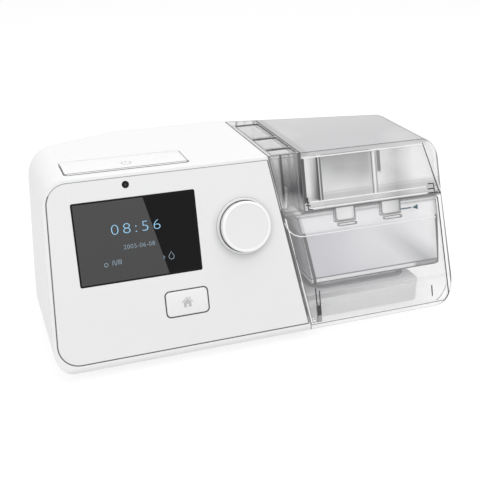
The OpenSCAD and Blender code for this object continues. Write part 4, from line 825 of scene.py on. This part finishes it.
class MACHINE_OT_underside(bpy.types.Operator):
    """Model the feet and the heads of the casing screws"""
    bl_idname = "machine.underside"
    bl_label = "Underside"

    def execute(self, context):
        soft = rubber("foot_rubber", (0.20, 0.20, 0.205))
        for node in ("foot_front_left", "foot_rear_left", "foot_front_right", "foot_rear_right"):
            low, high, centre = box_of(node)
            radius = (high.x - low.x) / 2
            neck = span("base_tray", HIGH)[0] if "left" in node else span("heater_base", HIGH)[0]
            groove = 0.5 * MM
            profile = [(0, 0)]
            for share in (0.25, 0.5, 0.75):
                at = radius * share
                profile += [(at, 0), (at + 0.1 * MM, groove),
                            (at + 0.7 * MM, groove), (at + 0.8 * MM, 0)]
            profile += arc((radius - 0.7 * MM, 0.7 * MM), 0.7 * MM, -90, 0, 4)
            shank = radius - 1.02 * MM
            profile += [(radius, neck), (shank, neck), (shank, high.z), (0, high.z)]
            place = Matrix.Translation((centre.x, centre.y, 0))
            name = node.replace("foot", "pad")
            piece(name, lathe(profile, 48), place, soft, "main_unit", (node,))
        self.screws()
        return {"FINISHED"}

    def screws(self):
        steel = brushed("screw_steel", (0.55, 0.55, 0.57), 0.3)
        arm, half = 1.35 * MM, 0.3 * MM
        cross = [(arm, half), (half, half), (half, arm), (-half, arm), (-half, half), (-arm, half),
                 (-arm, -half), (-half, -half), (-half, -arm), (half, -arm), (half, -half), (arm, -half)]
        head = ring((0, 0), 2.45 * MM, steps=32)
        thick = 0.45 * MM
        for number, (x, y, low) in enumerate(islands("casing_screws")):
            place = Matrix.Translation((x, y, low - thick)) @ Matrix.Rotation(0.4 * number, 4, "Z")
            cut_plate(f"screw_head_{number + 1}", head, [cross], thick, place, steel, "main_unit")


class MACHINE_OT_inner(bpy.types.Operator):
    """Finish the boards, the motor and the other pieces inside"""
    bl_idname = "machine.inner"
    bl_label = "Inner pieces"

    def execute(self, context):
        dress(board_lacquer("board_green"), "main_board", "start_board", "power_board", "flow_sensor")
        steel = brushed("steel_turned", (0.62, 0.62, 0.64), 0.3, (40, 1, 1))
        dress(steel, "casing_screws", "board_screws", "start_board_screws", "encoder_body",
              "encoder_plunger", "encoder_shaft", "start_hinge_rod", "rotor_shaft", "motor_can",
              "motor_bearings", "filter_door_pin", "lcd_module")
        dress(winding("copper_turns", (0.72, 0.36, 0.14)), "motor_stator")
        dress(brushed("heating_foil", (0.70, 0.42, 0.18), 0.4), "heater_element")
        dress(flat_cable("flat_cable"), "ribbon_cable")
        dress(open_foam("grey_foam", (0.16, 0.16, 0.17)), "muffler_foam")
        dress(felt("filter_felt", (0.80, 0.84, 0.88)), "filter_pad")
        dress(moulded("black_moulding", (0.02, 0.02, 0.022), 0.4), "home_switch", "dc_jack")
        dress(rubber("grey_rubber", (0.09, 0.09, 0.095)), "blower_bushes", "inlet_hood", "port_seal")
        self.inlet(steel)
        return {"FINISHED"}

    def inlet(self, steel):
        high, centre = box_of("dc_jack")[1:]
        pin = [(0, 0), (1.04 * MM, 0), (1.04 * MM, 8.4 * MM)]
        pin += arc((0.54 * MM, 8.4 * MM), 0.5 * MM, 0, 90, 4) + [(0, 8.9 * MM)]
        turn = Matrix.Rotation(math.radians(-90), 4, "X")
        place = Matrix.Translation((centre.x, high.y - 9.3 * MM, high.z - 5.5 * MM)) @ turn
        piece("inlet_pin", lathe(pin, 24), place, steel, "main_unit")


class MACHINE_OT_knob(bpy.types.Operator):
    """Turn the knob and its collar"""
    bl_idname = "machine.knob"
    bl_label = "Knob"

    def execute(self, context):
        controls = context.scene.machine_controls
        shell = context.scene.machine_shell
        x, v = middle("control_knob", ACROSS), middle("control_knob", UP)
        low, high = span("control_knob", OUT)
        left, right = span("control_knob", ACROSS)
        radius = (right - left) / 2
        back = low - PANEL_FACE
        face = high - PANEL_FACE
        rim = controls.knob_rim
        wall = 2.2 * MM
        post = 5 * MM
        bore = 3.02 * MM
        roof = face - 1.6 * MM
        place = on_panel(x, v, PANEL_FACE)
        profile = [(bore, back + 0.2 * MM), (post, back), (post, roof), (radius - wall, roof),
                   (radius - wall, back)]
        profile += arc((radius - 0.3 * MM, back + 0.3 * MM), 0.3 * MM, -90, 0, 3)
        round_over = 0.9 * MM
        profile += arc((radius - round_over, face - round_over), round_over, 0, 80, 6)
        inner = radius - rim
        sunk = face - 0.25 * MM
        profile += [(inner + 0.2 * MM, face), (inner, sunk)]
        dish = controls.knob_dish
        steps = 6
        profile += [(inner * (1 - k / steps), sunk - dish * math.sin(math.pi / 2 * k / steps))
                    for k in range(1, steps + 1)]
        profile += [(0, roof + 0.2 * MM), (bore, roof + 0.2 * MM)]
        white = knob_finish("knob_white", shell.knob_colour, shell.bevel_highlight_colour, x, v, inner)
        piece("knob_cap", lathe(profile, 144), place, white, "knob",
              ("control_knob",), 20)
        self.collar(place, radius)
        self.well(place, radius)
        return {"FINISHED"}

    def collar(self, place, knob):
        low, high = span("knob_collar", OUT)
        left, right = span("knob_collar", ACROSS)
        radius = (right - left) / 2
        top = high - PANEL_FACE
        foot = low - PANEL_FACE
        inner = knob - 2.5 * MM
        edge = 0.4 * MM
        profile = [(inner, foot), (radius, foot)]
        profile += arc((radius - edge, top - edge), edge, 0, 90, 4)
        profile += arc((inner + edge, top - edge), edge, 90, 180, 4)
        grey = moulded("collar_grey", (0.79, 0.79, 0.795), 0.3, coat=0.2)
        piece("collar_ring", lathe(profile, 144), place, grey, "main_unit",
              ("knob_collar",), 25)

    def well(self, place, knob):
        """Shaded gap between the collar and the turning cap, and the collar's seat in the panel."""
        top = span("knob_collar", OUT)[1] - PANEL_FACE
        shade = ink("well_shade", (0.05, 0.05, 0.052))
        seat = ink("seat_shade", (0.50, 0.50, 0.505))
        left, right = span("knob_collar", ACROSS)
        line_art("cap_shadow", [(ring((0, 0), knob + 0.15 * MM, steps=96), True)], 0.6 * MM,
                 place @ Matrix.Translation((0, 0, top)), shade, "main_unit")
        line_art("collar_seat", [(ring((0, 0), (right - left) / 2 + 0.05 * MM, steps=96), True)],
                 0.5 * MM, place, seat, "main_unit")


class MACHINE_OT_home_key(bpy.types.Operator):
    """Model the home key with its printed house"""
    bl_idname = "machine.home_key"
    bl_label = "Home key"

    def execute(self, context):
        controls = context.scene.machine_controls
        white = moulded("home_key_white", context.scene.machine_shell.key_colour, 0.3)
        eased("home_cap", "home_button", OUT, controls.key_fillet, white, "home_key")
        shade = ink("home_shade", (0.085, 0.085, 0.09))
        gap = outline("home_button", OUT, ACROSS, UP, 0.15 * MM)
        line_art("home_joint", [(gap, True)], controls.joint_line * 2.2, on_panel(0, 0, PANEL_FACE),
                 shade, "main_unit")
        self.house(on_panel(middle("home_button", ACROSS), middle("home_button", UP),
                            span("home_button", OUT)[1]))
        return {"FINISHED"}

    def house(self, place):
        """Generic house: an eave over a filled body with its door left out."""
        grey = ink("print_grey", (0.55, 0.55, 0.555))
        eave = [(-3.3, 0.1), (0, 3.1), (3.3, 0.1)]
        chimney = [(1.9, 2.2), (1.9, 3.2)]
        strokes = [([(px * MM, py * MM) for px, py in line], False) for line in (eave, chimney)]
        line_art("house_eave", strokes, 0.62 * MM, place, grey, "home_key")
        body = [(-2.3, 0.1), (-2.3, -2.9), (-0.6, -2.9), (-0.6, -1.0), (0.6, -1.0), (0.6, -2.9),
                (2.3, -2.9), (2.3, 0.1), (0, 2.15)]
        cut_plate("house_body", [(px * MM, py * MM) for px, py in body], [], 0.03 * MM, place, grey,
                  "home_key")


class MACHINE_OT_start_key(bpy.types.Operator):
    """Model the start key on top with its printed power sign"""
    bl_idname = "machine.start_key"
    bl_label = "Start key"

    def execute(self, context):
        controls = context.scene.machine_controls
        white = moulded("start_key_white", context.scene.machine_shell.key_colour, 0.28)
        eased("start_cap", "start_button", HIGH, controls.key_fillet, white, "start_key")
        top = span("start_button", HIGH)[1]
        low, high, centre = box_of("start_button")
        rim = outline("start_button", HIGH, ACROSS, BACK, 0.2 * MM)
        shade = ink("start_shade", (0.15, 0.15, 0.155))
        # Pale ink that paints light over the rear of the gap.
        pale = ink("start_gap_painted_light", (0.92, 0.92, 0.92))
        rear = high.y - 3 * MM
        near = [tuple(point) for point in rim if point.y < rear]
        far = [tuple(point) for point in rim if point.y > rear]
        level = Matrix.Translation((0, 0, top + 0.012 * MM))
        flat = 0.02 * MM
        turn = max(range(len(near)), key=lambda k: (Vector(near[k]) - Vector(near[k - 1])).length
                   if near[k][1] > centre.y else 0)
        near = near[turn:] + near[:turn]
        line_art("start_joint", [(near, False)], controls.joint_line * 2.3, level, shade, "main_unit",
                 flat)
        side = [(low.x - 0.2 * MM, low.y + 0.8 * MM), (low.x - 0.2 * MM, high.y - 5 * MM)]
        line_art("start_joint_side", [(side, False)], controls.joint_line * 1.8, level, shade,
                 "main_unit", flat)
        # Painted light: the rear of the gap gets a pale line over it, as where it catches the light.
        far.sort()
        line_art("start_joint_rear", [(far, False)], controls.joint_line * 2.2, level, pale, "main_unit",
                 flat)
        power = [(ring((0, 0), 2.8 * MM, 125, 415), False), ([(0, 0.7 * MM), (0, 3.4 * MM)], False)]
        print_pale = ink("print_pale", (0.52, 0.52, 0.525))
        place = level @ Matrix.Translation((centre.x + 1.2 * MM, centre.y - 1.2 * MM, 0))
        line_art("power_sign", power, 0.65 * MM, place, print_pale, "start_key", flat)
        return {"FINISHED"}


class MACHINE_OT_display(bpy.types.Operator):
    """Model the screen window, its lit numbers and signs, and the light sensor"""
    bl_idname = "machine.display"
    bl_label = "Display"

    def execute(self, context):
        settings = context.scene.machine_display
        left, right = span("screen_window", ACROSS)
        foot, head = span("screen_window", UP)
        back, face = span("screen_window", OUT)
        x, v = (left + right) / 2, (foot + head) / 2
        window = block(right - left, head - foot, face - back, 0.2 * MM, 0.08 * MM, 4)
        piece("display_window", window, on_panel(x, v, back), display_painted_reflection("display_painted_reflection"),
              "main_unit", ("screen_window",))
        blue = ink("lit_blue", settings.ink_colour, 0.25)
        pale = ink("lit_pale", settings.pale_colour, 0.2)

        def at(dx, dv):
            return on_panel(x + dx * MM, v + dv * MM, face)

        def sign(name, points, closed, dx, dv, material=pale):
            points = [(px * 0.9 * MM, py * 0.9 * MM) for px, py in points]
            line_art(name, [(points, closed)], 0.34 * MM, at(dx, dv), material, "main_unit")

        wide = Matrix.Diagonal((1.22, 1, 1, 1))
        numbers("clock_numbers", settings.clock, settings.clock_height, at(-0.6, 6.3) @ wide, blue,
                "main_unit", 1.3, -0.22 * MM)
        numbers("date_numbers", settings.date, settings.date_height, at(0.2, -4.3), pale, "main_unit",
                1.1, -0.04 * MM)
        sign("ring_sign", ring((0, 0), 1.15, steps=16), True, -20.4, -13.0)
        wave = [(0, -1.6), (0.2, 1.0), (0.7, 1.7), (1.2, 1.0), (1.6, -1.2), (2.1, -1.6), (2.6, -0.9),
                (2.9, 1.7)]
        sign("ramp_sign", wave, False, -16.6, -12.4)
        for number in range(3):
            sign(f"ramp_bar_{number + 1}", [(0, -1.6), (0, 1.6)], False, -13.1 + number * 0.8, -12.2)
        sign("chevron_sign", [(-0.5, 1.1), (0.6, 0), (-0.5, -1.1)], False, 14.0, -13.4)
        sign("drop_sign", [(0, 2.6)] + ring((0, -0.6), 1.75, -205, 25, 20), True, 18.5, -13.0)
        self.sensor()
        return {"FINISHED"}

    def sensor(self):
        x, v = middle("sensor_lens", ACROSS), middle("sensor_lens", UP)
        back, face = span("sensor_lens", OUT)
        radius = 2.0 * MM
        depth = face - back
        left, right = span("sensor_lens", ACROSS)
        flange = (right - left) / 2
        profile = [(0, 0), (flange, 0), (flange, 0.9 * MM), (radius, 0.9 * MM),
                   (radius, depth - 0.25 * MM)]
        profile += [(radius * 0.94, depth - 0.05 * MM), (radius * 0.62, depth - 0.12 * MM),
                    (radius * 0.5, depth - 0.3 * MM), (radius * 0.3, depth - 0.38 * MM),
                    (0, depth - 0.4 * MM)]
        dark = ink("sensor_smoke", (0.004, 0.004, 0.004))
        piece("sensor_dome", lathe(profile, 48), on_panel(x, v, back), dark, "main_unit",
              ("sensor_lens",))
        lens = ink("sensor_eye", (0.06, 0.06, 0.062))
        eye = ring((0, 0), 0.55 * MM, steps=20)
        cut_plate("sensor_eye", eye, [], 0.04 * MM, on_panel(x, v, face - 0.4 * MM), lens, "main_unit")


class MACHINE_OT_tank(bpy.types.Operator):
    """Finish the clear tank, its lid, its tub and what they hold"""
    bl_idname = "machine.tank"
    bl_label = "Tank"

    def execute(self, context):
        tank = context.scene.machine_tank
        thin_cover = tank.clear_cover * 0.45
        dress(clear("clear_shell", tank.clear_colour, thin_cover, 1.0, paint=self.shell_paint),
              "tank_shell")
        dress(clear("clear_lid", tank.clear_colour, tank.clear_cover, paint=self.lid_paint), "flip_lid")
        dress(clear("clear_duct", tank.duct_colour, 0.5, paint=self.duct_paint), "duct_insert")
        dress(clear("clear_outlet", (0.62, 0.62, 0.63), tank.clear_cover), "outlet_connector")
        dress(clear("clear_baffle", (0.80, 0.80, 0.81), 0.45), "lid_baffle")
        # The tub's lavender grey is partly its milky plastic and partly a painted reflection of the
        # heater plate in it.
        milky = clear("milky_tub_painted_reflection", tank.tub_colour, 0.93, 0.85, 2.8 * MM, 0.05, self.tub_paint)
        dress(milky, "water_tub")
        pan = brushed("pan_metal", (0.70, 0.70, 0.72), 0.3, (1, 60, 60))
        dress(pan, "tub_heat_plate", "heater_plate")
        dress(brushed("hinge_steel", (0.80, 0.80, 0.81), 0.25, (40, 1, 1)), "lid_hinge_pin")
        dress(rubber("seal_grey", (0.30, 0.30, 0.31)), "lid_seal", "tub_gasket", "heater_seal")
        self.ribs()
        self.marks()
        return {"FINISHED"}

    def streaks(self, finish, value, thread, mask, lines):
        """Adds lines to the dark ones: each has its centre and half width in mm, and its strength."""
        for centre, half, level in lines:
            thread = thread.at_least(finish.stripe(value, centre * MM, half * MM) * mask * level)
        return thread

    def silhouette(self, finish, node, x, z, thread, line):
        """Adds one painted dark line along the right end of a node's front, as painted shade where the
        clear wall turns away.
        """
        foot_x, slope = self.wall(node, 1)
        inset = z * slope + foot_x - x
        return self.streaks(finish, inset, thread, finish.faces(OUT, 0.8), (line,))

    def shell_paint(self, finish, body, hide, thread):
        """Painted shade: a darker column beside the lid with dark streaks, a painted shadow along the
        foot below the tub, and a dark line along the right end.
        """
        x = finish.coordinate(ACROSS)
        z = finish.coordinate(HIGH)
        front = finish.faces(OUT)
        strip_end = 29.8 * MM
        # Painted shade: the column beside the lid is darker, less so towards the top.
        column = front * x.below(strip_end) * z.rise(80 * MM, 12 * MM)
        drift = finish.noise(12 * MM, 1, 0.5, (1, 1, 0.25))
        inner = x.rise(15.5 * MM, MM) * 0.3 + 0.7
        depth = 1.25 - z.rise(86 * MM, 24 * MM) * 0.6
        dark = (column * inner * depth * (1.2 - drift * 0.5)).clamp()
        body = finish.blend(dark, body, (0.10, 0.10, 0.105))
        roof = finish.faces(HIGH) * x.below(strip_end)
        hide = hide + column * (depth * 0.3 + 0.14) + roof * 0.12
        thread = self.streaks(finish, x, thread, column, (
            (9.8, 0.5, 0.5), (16.8, 0.7, 0.8), (22.6, 0.5, 0.35), (28.8, 0.9, 0.75)))
        thread = self.silhouette(finish, "tank_shell", x, z, thread, (0.65, 0.75, 0.9))
        # Painted shadow below the tub: dark lines along the foot, fading to the right.
        foot = front * (1 - x.rise(30 * MM, 84 * MM) * 0.8)
        thread = self.streaks(finish, z, thread, foot, ((25.8, 1.0, 0.66), (22.8, 2.6, 0.22)))
        return body, hide, thread

    def duct_paint(self, finish, body, hide, thread):
        """Painted light: paler where it lies close under the top, with its dark lines fainter there."""
        z = finish.coordinate(HIGH)
        rise = z.rise(100 * MM, 6 * MM)
        return finish.blend(rise, body, (0.95, 0.95, 0.955)), hide, thread * (1 - rise * 0.4)

    def lid_paint(self, finish, body, hide, thread):
        """Smoked top with painted light on its border and rear and painted shade on its left edge, a
        front with painted shade and reflection that darkens upwards and in patches, and ribs and rim
        lines.
        """
        tank = bpy.context.scene.machine_tank
        x = finish.coordinate(ACROSS)
        y = finish.coordinate(BACK)
        z = finish.coordinate(HIGH)
        left_x, right_x = span("flip_lid", ACROSS)
        top = span("flip_lid", HIGH)[1] - 2.6 * MM
        back_y = span("flip_lid", BACK)[1]
        above = z.rise(top, 0.25 * MM)
        inset = (right_x - x).at_most(back_y - y)
        border = 1 - inset.rise(3.2 * MM, 1.2 * MM)
        # Painted light on the smoked top: paler along the border, towards the rear and in soft clouds.
        cloud = finish.noise(60 * MM, 1)
        front_y = span("flip_lid", BACK)[0] + 34 * MM
        rear = y.rise(front_y, back_y - front_y)
        light = border * 0.35 + (cloud - 0.5).clamp() * 1.6 + rear * 0.3
        smoke = finish.blend(light, tuple(tank.lid_colour), (0.82, 0.82, 0.825))
        # Painted shade: darker along the left edge of the top.
        verge = 1 - (x - left_x).rise(4.2 * MM, 1.6 * MM)
        smoke = finish.blend(verge * 0.5, smoke, (0.40, 0.40, 0.405))
        # Painted shade and reflection on the front: darker upwards, in a patch on the right and in a
        # slope at the left.
        front = finish.faces(OUT)
        rise = z.rise(90 * MM, 26 * MM)
        drift = finish.noise(30 * MM, 1)
        left = x.rise(43 * MM, 1.0 * MM)
        middle_band = left * (1 - x.rise(76 * MM, 4 * MM))
        patch = (1 - (x - 96 * MM).size() / (13 * MM)).clamp() * 0.42
        slope = x.rise(34.6 * MM, 5 * MM) * (1 - x.rise(40.2 * MM, 0.3 * MM))
        shade = (rise * 0.9 + drift * 0.9 - 0.36).clamp() * middle_band + patch * (0.4 + drift)
        shade = shade + slope * (1.1 - rise * 0.8) * z.rise(84.5 * MM, MM)
        body = finish.blend((front * shade).clamp(), body, (0.24, 0.24, 0.245))
        body = finish.blend(above, body, smoke)
        hide = hide + front * 0.42 + above * (tank.lid_cover - tank.clear_cover)
        thread = self.streaks(finish, z, thread, front, (
            (88.8, 0.3, 0.4), (86.2, 1.6, 0.36), (84.1, 0.4, 0.6), (82.5, 1.3, 0.3),
            (80.8, 0.4, 0.5), (78.9, 0.5, 0.85)))
        reach = front * z.rise(83 * MM, MM) * (1 - z.rise(110 * MM, MM))
        thread = self.streaks(finish, x, thread, reach, (
            (30.6, 1.5, 1.0), (40.7, 0.7, 1.0), (42.7, 0.7, 0.9), (78.6, 0.5, 0.75),
            (81.6, 0.45, 0.65)))
        high = reach * z.rise(96 * MM, 2 * MM)
        thread = self.streaks(finish, x, thread, high, ((83.6, 1.3, 0.8),))
        thread = self.silhouette(finish, "flip_lid", x, z, thread, (0.6, 0.7, 0.7))
        return body, hide, thread

    def tub_paint(self, finish, body, hide, thread):
        """Painted light and shade: paler to the right and upwards, a soft shade low on the right, a
        highlight along the rolled foot, and dark lines at the front's corners.
        """
        left, right = span("water_tub", ACROSS)
        low, high = span("water_tub", HIGH)
        across = (finish.coordinate(ACROSS) - left) / (right - left)
        z = finish.coordinate(HIGH)
        up = (z - low) / (high - low)
        drift = finish.noise(46 * MM, 1)
        # Painted light: paler to the right and upwards, and above the crease.
        pale = (across * 1.3 + up * 0.5 + drift * 0.5 - 0.72).clamp()
        brow = z.rise(63.5 * MM, 1.5 * MM) * 0.8
        # Painted highlight along the rolled foot.
        foot = finish.stripe(z, low + 4.4 * MM, 1.6 * MM)
        # Painted shade: soft and slanting, low on the right.
        slant = (across + up * 0.55 - 0.98).size()
        shade = (1 - slant / 0.15).clamp() * (1 - up * 1.2).clamp() * 0.95
        # Painted shade: the foot's right end is darker.
        end = across.rise(0.80, 0.03)
        body = finish.blend(pale.at_least(foot).at_least(brow), body, (0.97, 0.97, 0.98))
        body = finish.blend(shade.at_least(foot * end), body, (0.36, 0.36, 0.37))
        hide = hide + foot * 0.4
        # Painted dark lines above and below the foot's highlight.
        thread = self.streaks(finish, z, thread, 1, (
            (low / MM + 6.4, 0.5, 0.8), (low / MM + 2.2, 0.8, 0.95)))
        x = finish.coordinate(ACROSS)
        front = finish.faces(-BACK, 0.5) * (1 - brow)
        # Painted shade: dark lines along the front's left and right corners.
        for side, centre, half, level in ((-1, 2.2, 1.1, 1.0), (1, 1.6, 0.9, 0.85)):
            foot_x, slope = self.wall("water_tub", side)
            inset = (x - (z * slope + foot_x)) * -side
            thread = self.streaks(finish, inset, thread, front, ((centre, half, level),))
            edge = finish.stripe(inset, centre * MM, half * MM) * front
            body = finish.blend(edge, body, (0.26, 0.26, 0.27))
            hide = hide + edge * 0.4
        return body, hide, thread

    def wall(self, node, side):
        """Where a node's left (-1) or right (1) wall would meet the table, and how it leans."""
        low, high = span(node, HIGH)
        ends = []
        for share in (0.2, 0.7):
            z = low + (high - low) * share
            row = [place.x for place in points_of(node) if abs(place.z - z) < (high - low) * 0.12]
            ends.append((z, max(row) if side > 0 else min(row)))
        (z0, x0), (z1, x1) = ends
        slope = (x1 - x0) / (z1 - z0)
        return x0 - z0 * slope, slope

    def ribs(self):
        """Upright ribs behind the front wall of the lid and of the shell."""
        tank = bpy.context.scene.machine_tank
        # Painted shade: the dark ribs are a darkened copy of the clear plastic, for the dark bars they
        # show through the wall.
        dark = clear("rib_dark", (0.30, 0.30, 0.305), 0.62, 0.8, 0.6 * MM)
        pale = clear("rib_pale", tank.clear_colour, 0.3, 0.8, 0.9 * MM)
        wall = 2.45 * MM
        for name, x, width, foot, head, depth, material, body in (
                ("lid_rib_left", 40.9, 3.8, 83, 108, 5, dark, "lid"),
                ("lid_rib_mid", 80.0, 2.4, 83, 109, 6, pale, "lid"),
                ("lid_rib_short", 83.4, 2.0, 96, 109, 5, dark, "lid"),
                ("shell_rib", 35.0, 2.6, 9, 22, 1.8, dark, "tank")):
            across, low = face_point(x * MM, foot * MM)
            across, high = face_point(x * MM, head * MM)
            rib = block(width * MM, high - low, depth * MM, 0.3 * MM)
            place = on_panel(across, (low + high) / 2, PANEL_FACE - wall - depth * MM)
            piece(name, rib, place, material, body)

    def below(self, rim, ceiling):
        """The part of a closed outline below a level, from its right end round to its left end."""
        kept = []
        for point, following in zip(rim, rim[1:] + rim[:1]):
            if point.y <= ceiling:
                kept.append(point)
            if (point.y > ceiling) != (following.y > ceiling):
                kept.append(point.lerp(following, (ceiling - point.y) / (following.y - point.y)))
        level = [k for k, point in enumerate(kept) if abs(point.y - ceiling) < 0.01 * MM]
        start = max(level, key=lambda k: kept[k].x)
        kept = kept[start:] + kept[:start]
        return kept if kept[1].y < ceiling - 0.01 * MM else kept[:1] + kept[:0:-1]

    def marks(self):
        """Lines of the lid's rim and corners, the step across the shell and the level mark; the white
        lines are painted highlights, and the dark lines round the shell and down the lid's facet painted
        shade.
        """
        slate = ink("mark_slate", (0.10, 0.15, 0.18))
        shade = ink("line_shade", (0.07, 0.07, 0.075))
        # White ink for painted highlights along edges and the crease.
        white = ink("line_painted_highlight", (0.95, 0.95, 0.95))
        grey = ink("line_grey", (0.30, 0.30, 0.305))
        face = on_panel(0, 0, PANEL_FACE + 0.01 * MM)

        def drawn(name, strokes, width, material, body):
            lines = [([face_point(x * MM, z * MM) for x, z in stroke], False) for stroke in strokes]
            line_art(name, lines, width * MM, face, material, body)

        # Painted highlight along the step and crease across the shell.
        step = [(15.8, 73.9), (16.8, 71), (18.6, 68.4), (21.4, 66), (25.2, 64.5), (30, 64.2),
                (123, 64.2)]
        drawn("shell_step", [step], 0.7, white, "tank")
        drawn("level_line", [[(96.8, 72.3), (105, 72.3)]], 0.8, slate, "tank")
        # Painted highlights along the lid's rim, top edge, right edge and middle rib.
        drawn("lid_rim_white", [[(34, 84), (117, 84)], [(34, 80.2), (117, 80.2)]], 0.8, white, "lid")
        drawn("lid_white", [[(31.5, 110.6), (116.5, 110.6)], [(117.6, 110), (128, 80)],
                            [(80.1, 109), (80.1, 84)]], 0.8, white, "lid")
        # Painted shade down the lid's right facet.
        drawn("lid_facet", [[(116.4, 111.4), (127, 79)]], 0.6, shade, "lid")
        drawn("shell_hook", [[(32.5, 32), (32.8, 14.5)], [(35.0, 30), (34.9, 15)]], 0.8, shade, "tank")
        drawn("shell_hook_foot", [[(33.8, 21), (33.8, 15)]], 2.5, shade, "tank")
        drawn("shell_tick", [[(116.4, 21), (116.4, 14)]], 0.9, shade, "tank")
        drawn("shell_seam", [[(17.2, 70), (20.8, 52), (23.2, 37)]], 1.3, shade, "tank")
        drawn("lid_corners", [
            [(118.4, 85.6), (122.6, 85.6), (123.2, 80.4)], [(118, 82.4), (122.6, 82.4)],
            [(118.4, 79.8), (125.6, 79.8)], [(31.0, 86.6), (33, 83.6)],
            [(32.4, 87), (32.4, 79.8), (35.6, 79.8)], [(31.0, 82.6), (34, 82.0)]], 0.9, shade, "lid")
        # Painted shade and highlight round the shell: dark lines on the side and foot, and a white line
        # inside them.
        rim = self.below(outline("tank_shell", OUT, ACROSS, UP), face_point(0, 77 * MM)[1])
        centre = Vector((middle("tank_shell", ACROSS), face_point(0, 42 * MM)[1]))
        turn = max(k for k, point in enumerate(rim) if point.x > 112 * MM)
        for name, points, depth, width, material in (
                ("shell_side", rim[:turn + 1], 0.4, 0.8, shade),
                ("shell_foot", rim[turn:], 0.4, 0.6, grey),
                ("shell_white", rim, 1.4, 0.9, white)):
            inner = [point + (centre - point).normalized() * depth * MM for point in points]
            line_art(name, [(inner, False)], width * MM, face, material, "tank")
        pointer = [face_point(x * MM, z * MM) for x, z in ((105.6, 72.3), (109.8, 73.9), (109.8, 70.7))]
        cut_plate("level_pointer", pointer, [], 0.03 * MM, face, slate, "tank")


class MACHINE_OT_stage(bpy.types.Operator):
    """Set up the floor, the lamps and the camera"""
    bl_idname = "machine.stage"
    bl_label = "Stage"

    def execute(self, context):
        settings = context.scene.machine_stage
        bm = bmesh.new()
        bmesh.ops.create_grid(bm, x_segments=4, y_segments=4, size=settings.floor_size / 2)
        mesh = bpy.data.meshes.new("floor")
        bm.to_mesh(mesh)
        bm.free()
        floor = bpy.data.objects.new("floor", mesh)
        context.scene.collection.objects.link(floor)
        mesh.materials.append(floor_finish("floor_white"))
        self.lamp("overhead", (0.15, -0.25, 1.25), (0, 0, 0.05), 1.3, settings.key_power)
        self.lamp("front_left", (-0.9, -1.1, 0.75), (0, 0, 0.06), 1.0, settings.fill_power)
        self.sky(context, settings)
        self.camera(context, settings)
        return {"FINISHED"}

    def lamp(self, name, place, target, size, power):
        light = bpy.data.lights.new(name, "AREA")
        light.shape = "SQUARE"
        light.size = size
        light.energy = power
        lamp = bpy.data.objects.new(name, light)
        bpy.context.scene.collection.objects.link(lamp)
        lamp.location = place
        lamp.rotation_euler = (Vector(target) - Vector(place)).to_track_quat("-Z", "Y").to_euler()

    def sky(self, context, settings):
        world = bpy.data.worlds.new("sky")
        context.scene.world = world
        world.use_nodes = True
        tree = world.node_tree
        tree.nodes.clear()
        path = tree.nodes.new("ShaderNodeLightPath")
        even = tree.nodes.new("ShaderNodeBackground")
        even.inputs["Strength"].default_value = settings.sky_level
        white = tree.nodes.new("ShaderNodeBackground")
        white.inputs["Strength"].default_value = 1.0
        for background in (even, white):
            background.inputs["Color"].default_value = (1, 1, 1, 1)
        mix = tree.nodes.new("ShaderNodeMixShader")
        output = tree.nodes.new("ShaderNodeOutputWorld")
        seen, either = (tree.nodes.new("ShaderNodeMath") for _ in range(2))
        seen.operation = either.operation = "MAXIMUM"
        link = tree.links.new
        link(path.outputs["Is Camera Ray"], either.inputs[0])
        link(path.outputs["Is Glossy Ray"], either.inputs[1])
        link(either.outputs[0], seen.inputs[0])
        link(path.outputs["Is Transmission Ray"], seen.inputs[1])
        link(seen.outputs[0], mix.inputs["Fac"])
        link(even.outputs[0], mix.inputs[1])
        link(white.outputs[0], mix.inputs[2])
        link(mix.outputs[0], output.inputs["Surface"])

    def camera(self, context, settings):
        camera = bpy.data.objects.new("camera", bpy.data.cameras.new("camera"))
        context.scene.collection.objects.link(camera)
        camera.data.sensor_width = 36
        camera.data.lens = settings.lens
        turn = Matrix.Rotation(-settings.yaw, 4, "Z") @ Matrix.Rotation(
            math.radians(90) - settings.pitch, 4, "X") @ Matrix.Rotation(settings.roll, 4, "Z")
        camera.matrix_world = Matrix.Translation(settings.eye) @ turn
        context.scene.camera = camera
        context.scene.view_settings.view_transform = "Standard"


class MACHINE_PT_sidebar(bpy.types.Panel):
    bl_label = "Air machine"
    bl_idname = "MACHINE_PT_sidebar"
    bl_space_type = "VIEW_3D"
    bl_region_type = "UI"
    bl_category = "Air machine"

    def draw(self, context):
        for group, kind in GROUPS.items():
            box = self.layout.box()
            for name in kind.__annotations__:
                box.prop(getattr(context.scene, group), name)
        for operator in OPERATORS:
            self.layout.operator(operator.bl_idname)


OPERATORS = (MACHINE_OT_casing, MACHINE_OT_underside, MACHINE_OT_inner, MACHINE_OT_knob,
             MACHINE_OT_home_key, MACHINE_OT_start_key, MACHINE_OT_display, MACHINE_OT_tank,
             MACHINE_OT_stage)


def register():
    for kind in (*GROUPS.values(), *OPERATORS, MACHINE_PT_sidebar):
        bpy.utils.register_class(kind)
    for name, kind in GROUPS.items():
        setattr(bpy.types.Scene, name, PointerProperty(type=kind))


def unregister():
    for name in GROUPS:
        delattr(bpy.types.Scene, name)
    for kind in reversed((*GROUPS.values(), *OPERATORS, MACHINE_PT_sidebar)):
        bpy.utils.unregister_class(kind)


def main():
    register()
    for operator in OPERATORS:
        group, name = operator.bl_idname.split(".")
        getattr(getattr(bpy.ops, group), name)()


if __name__ == "__main__":
    main()
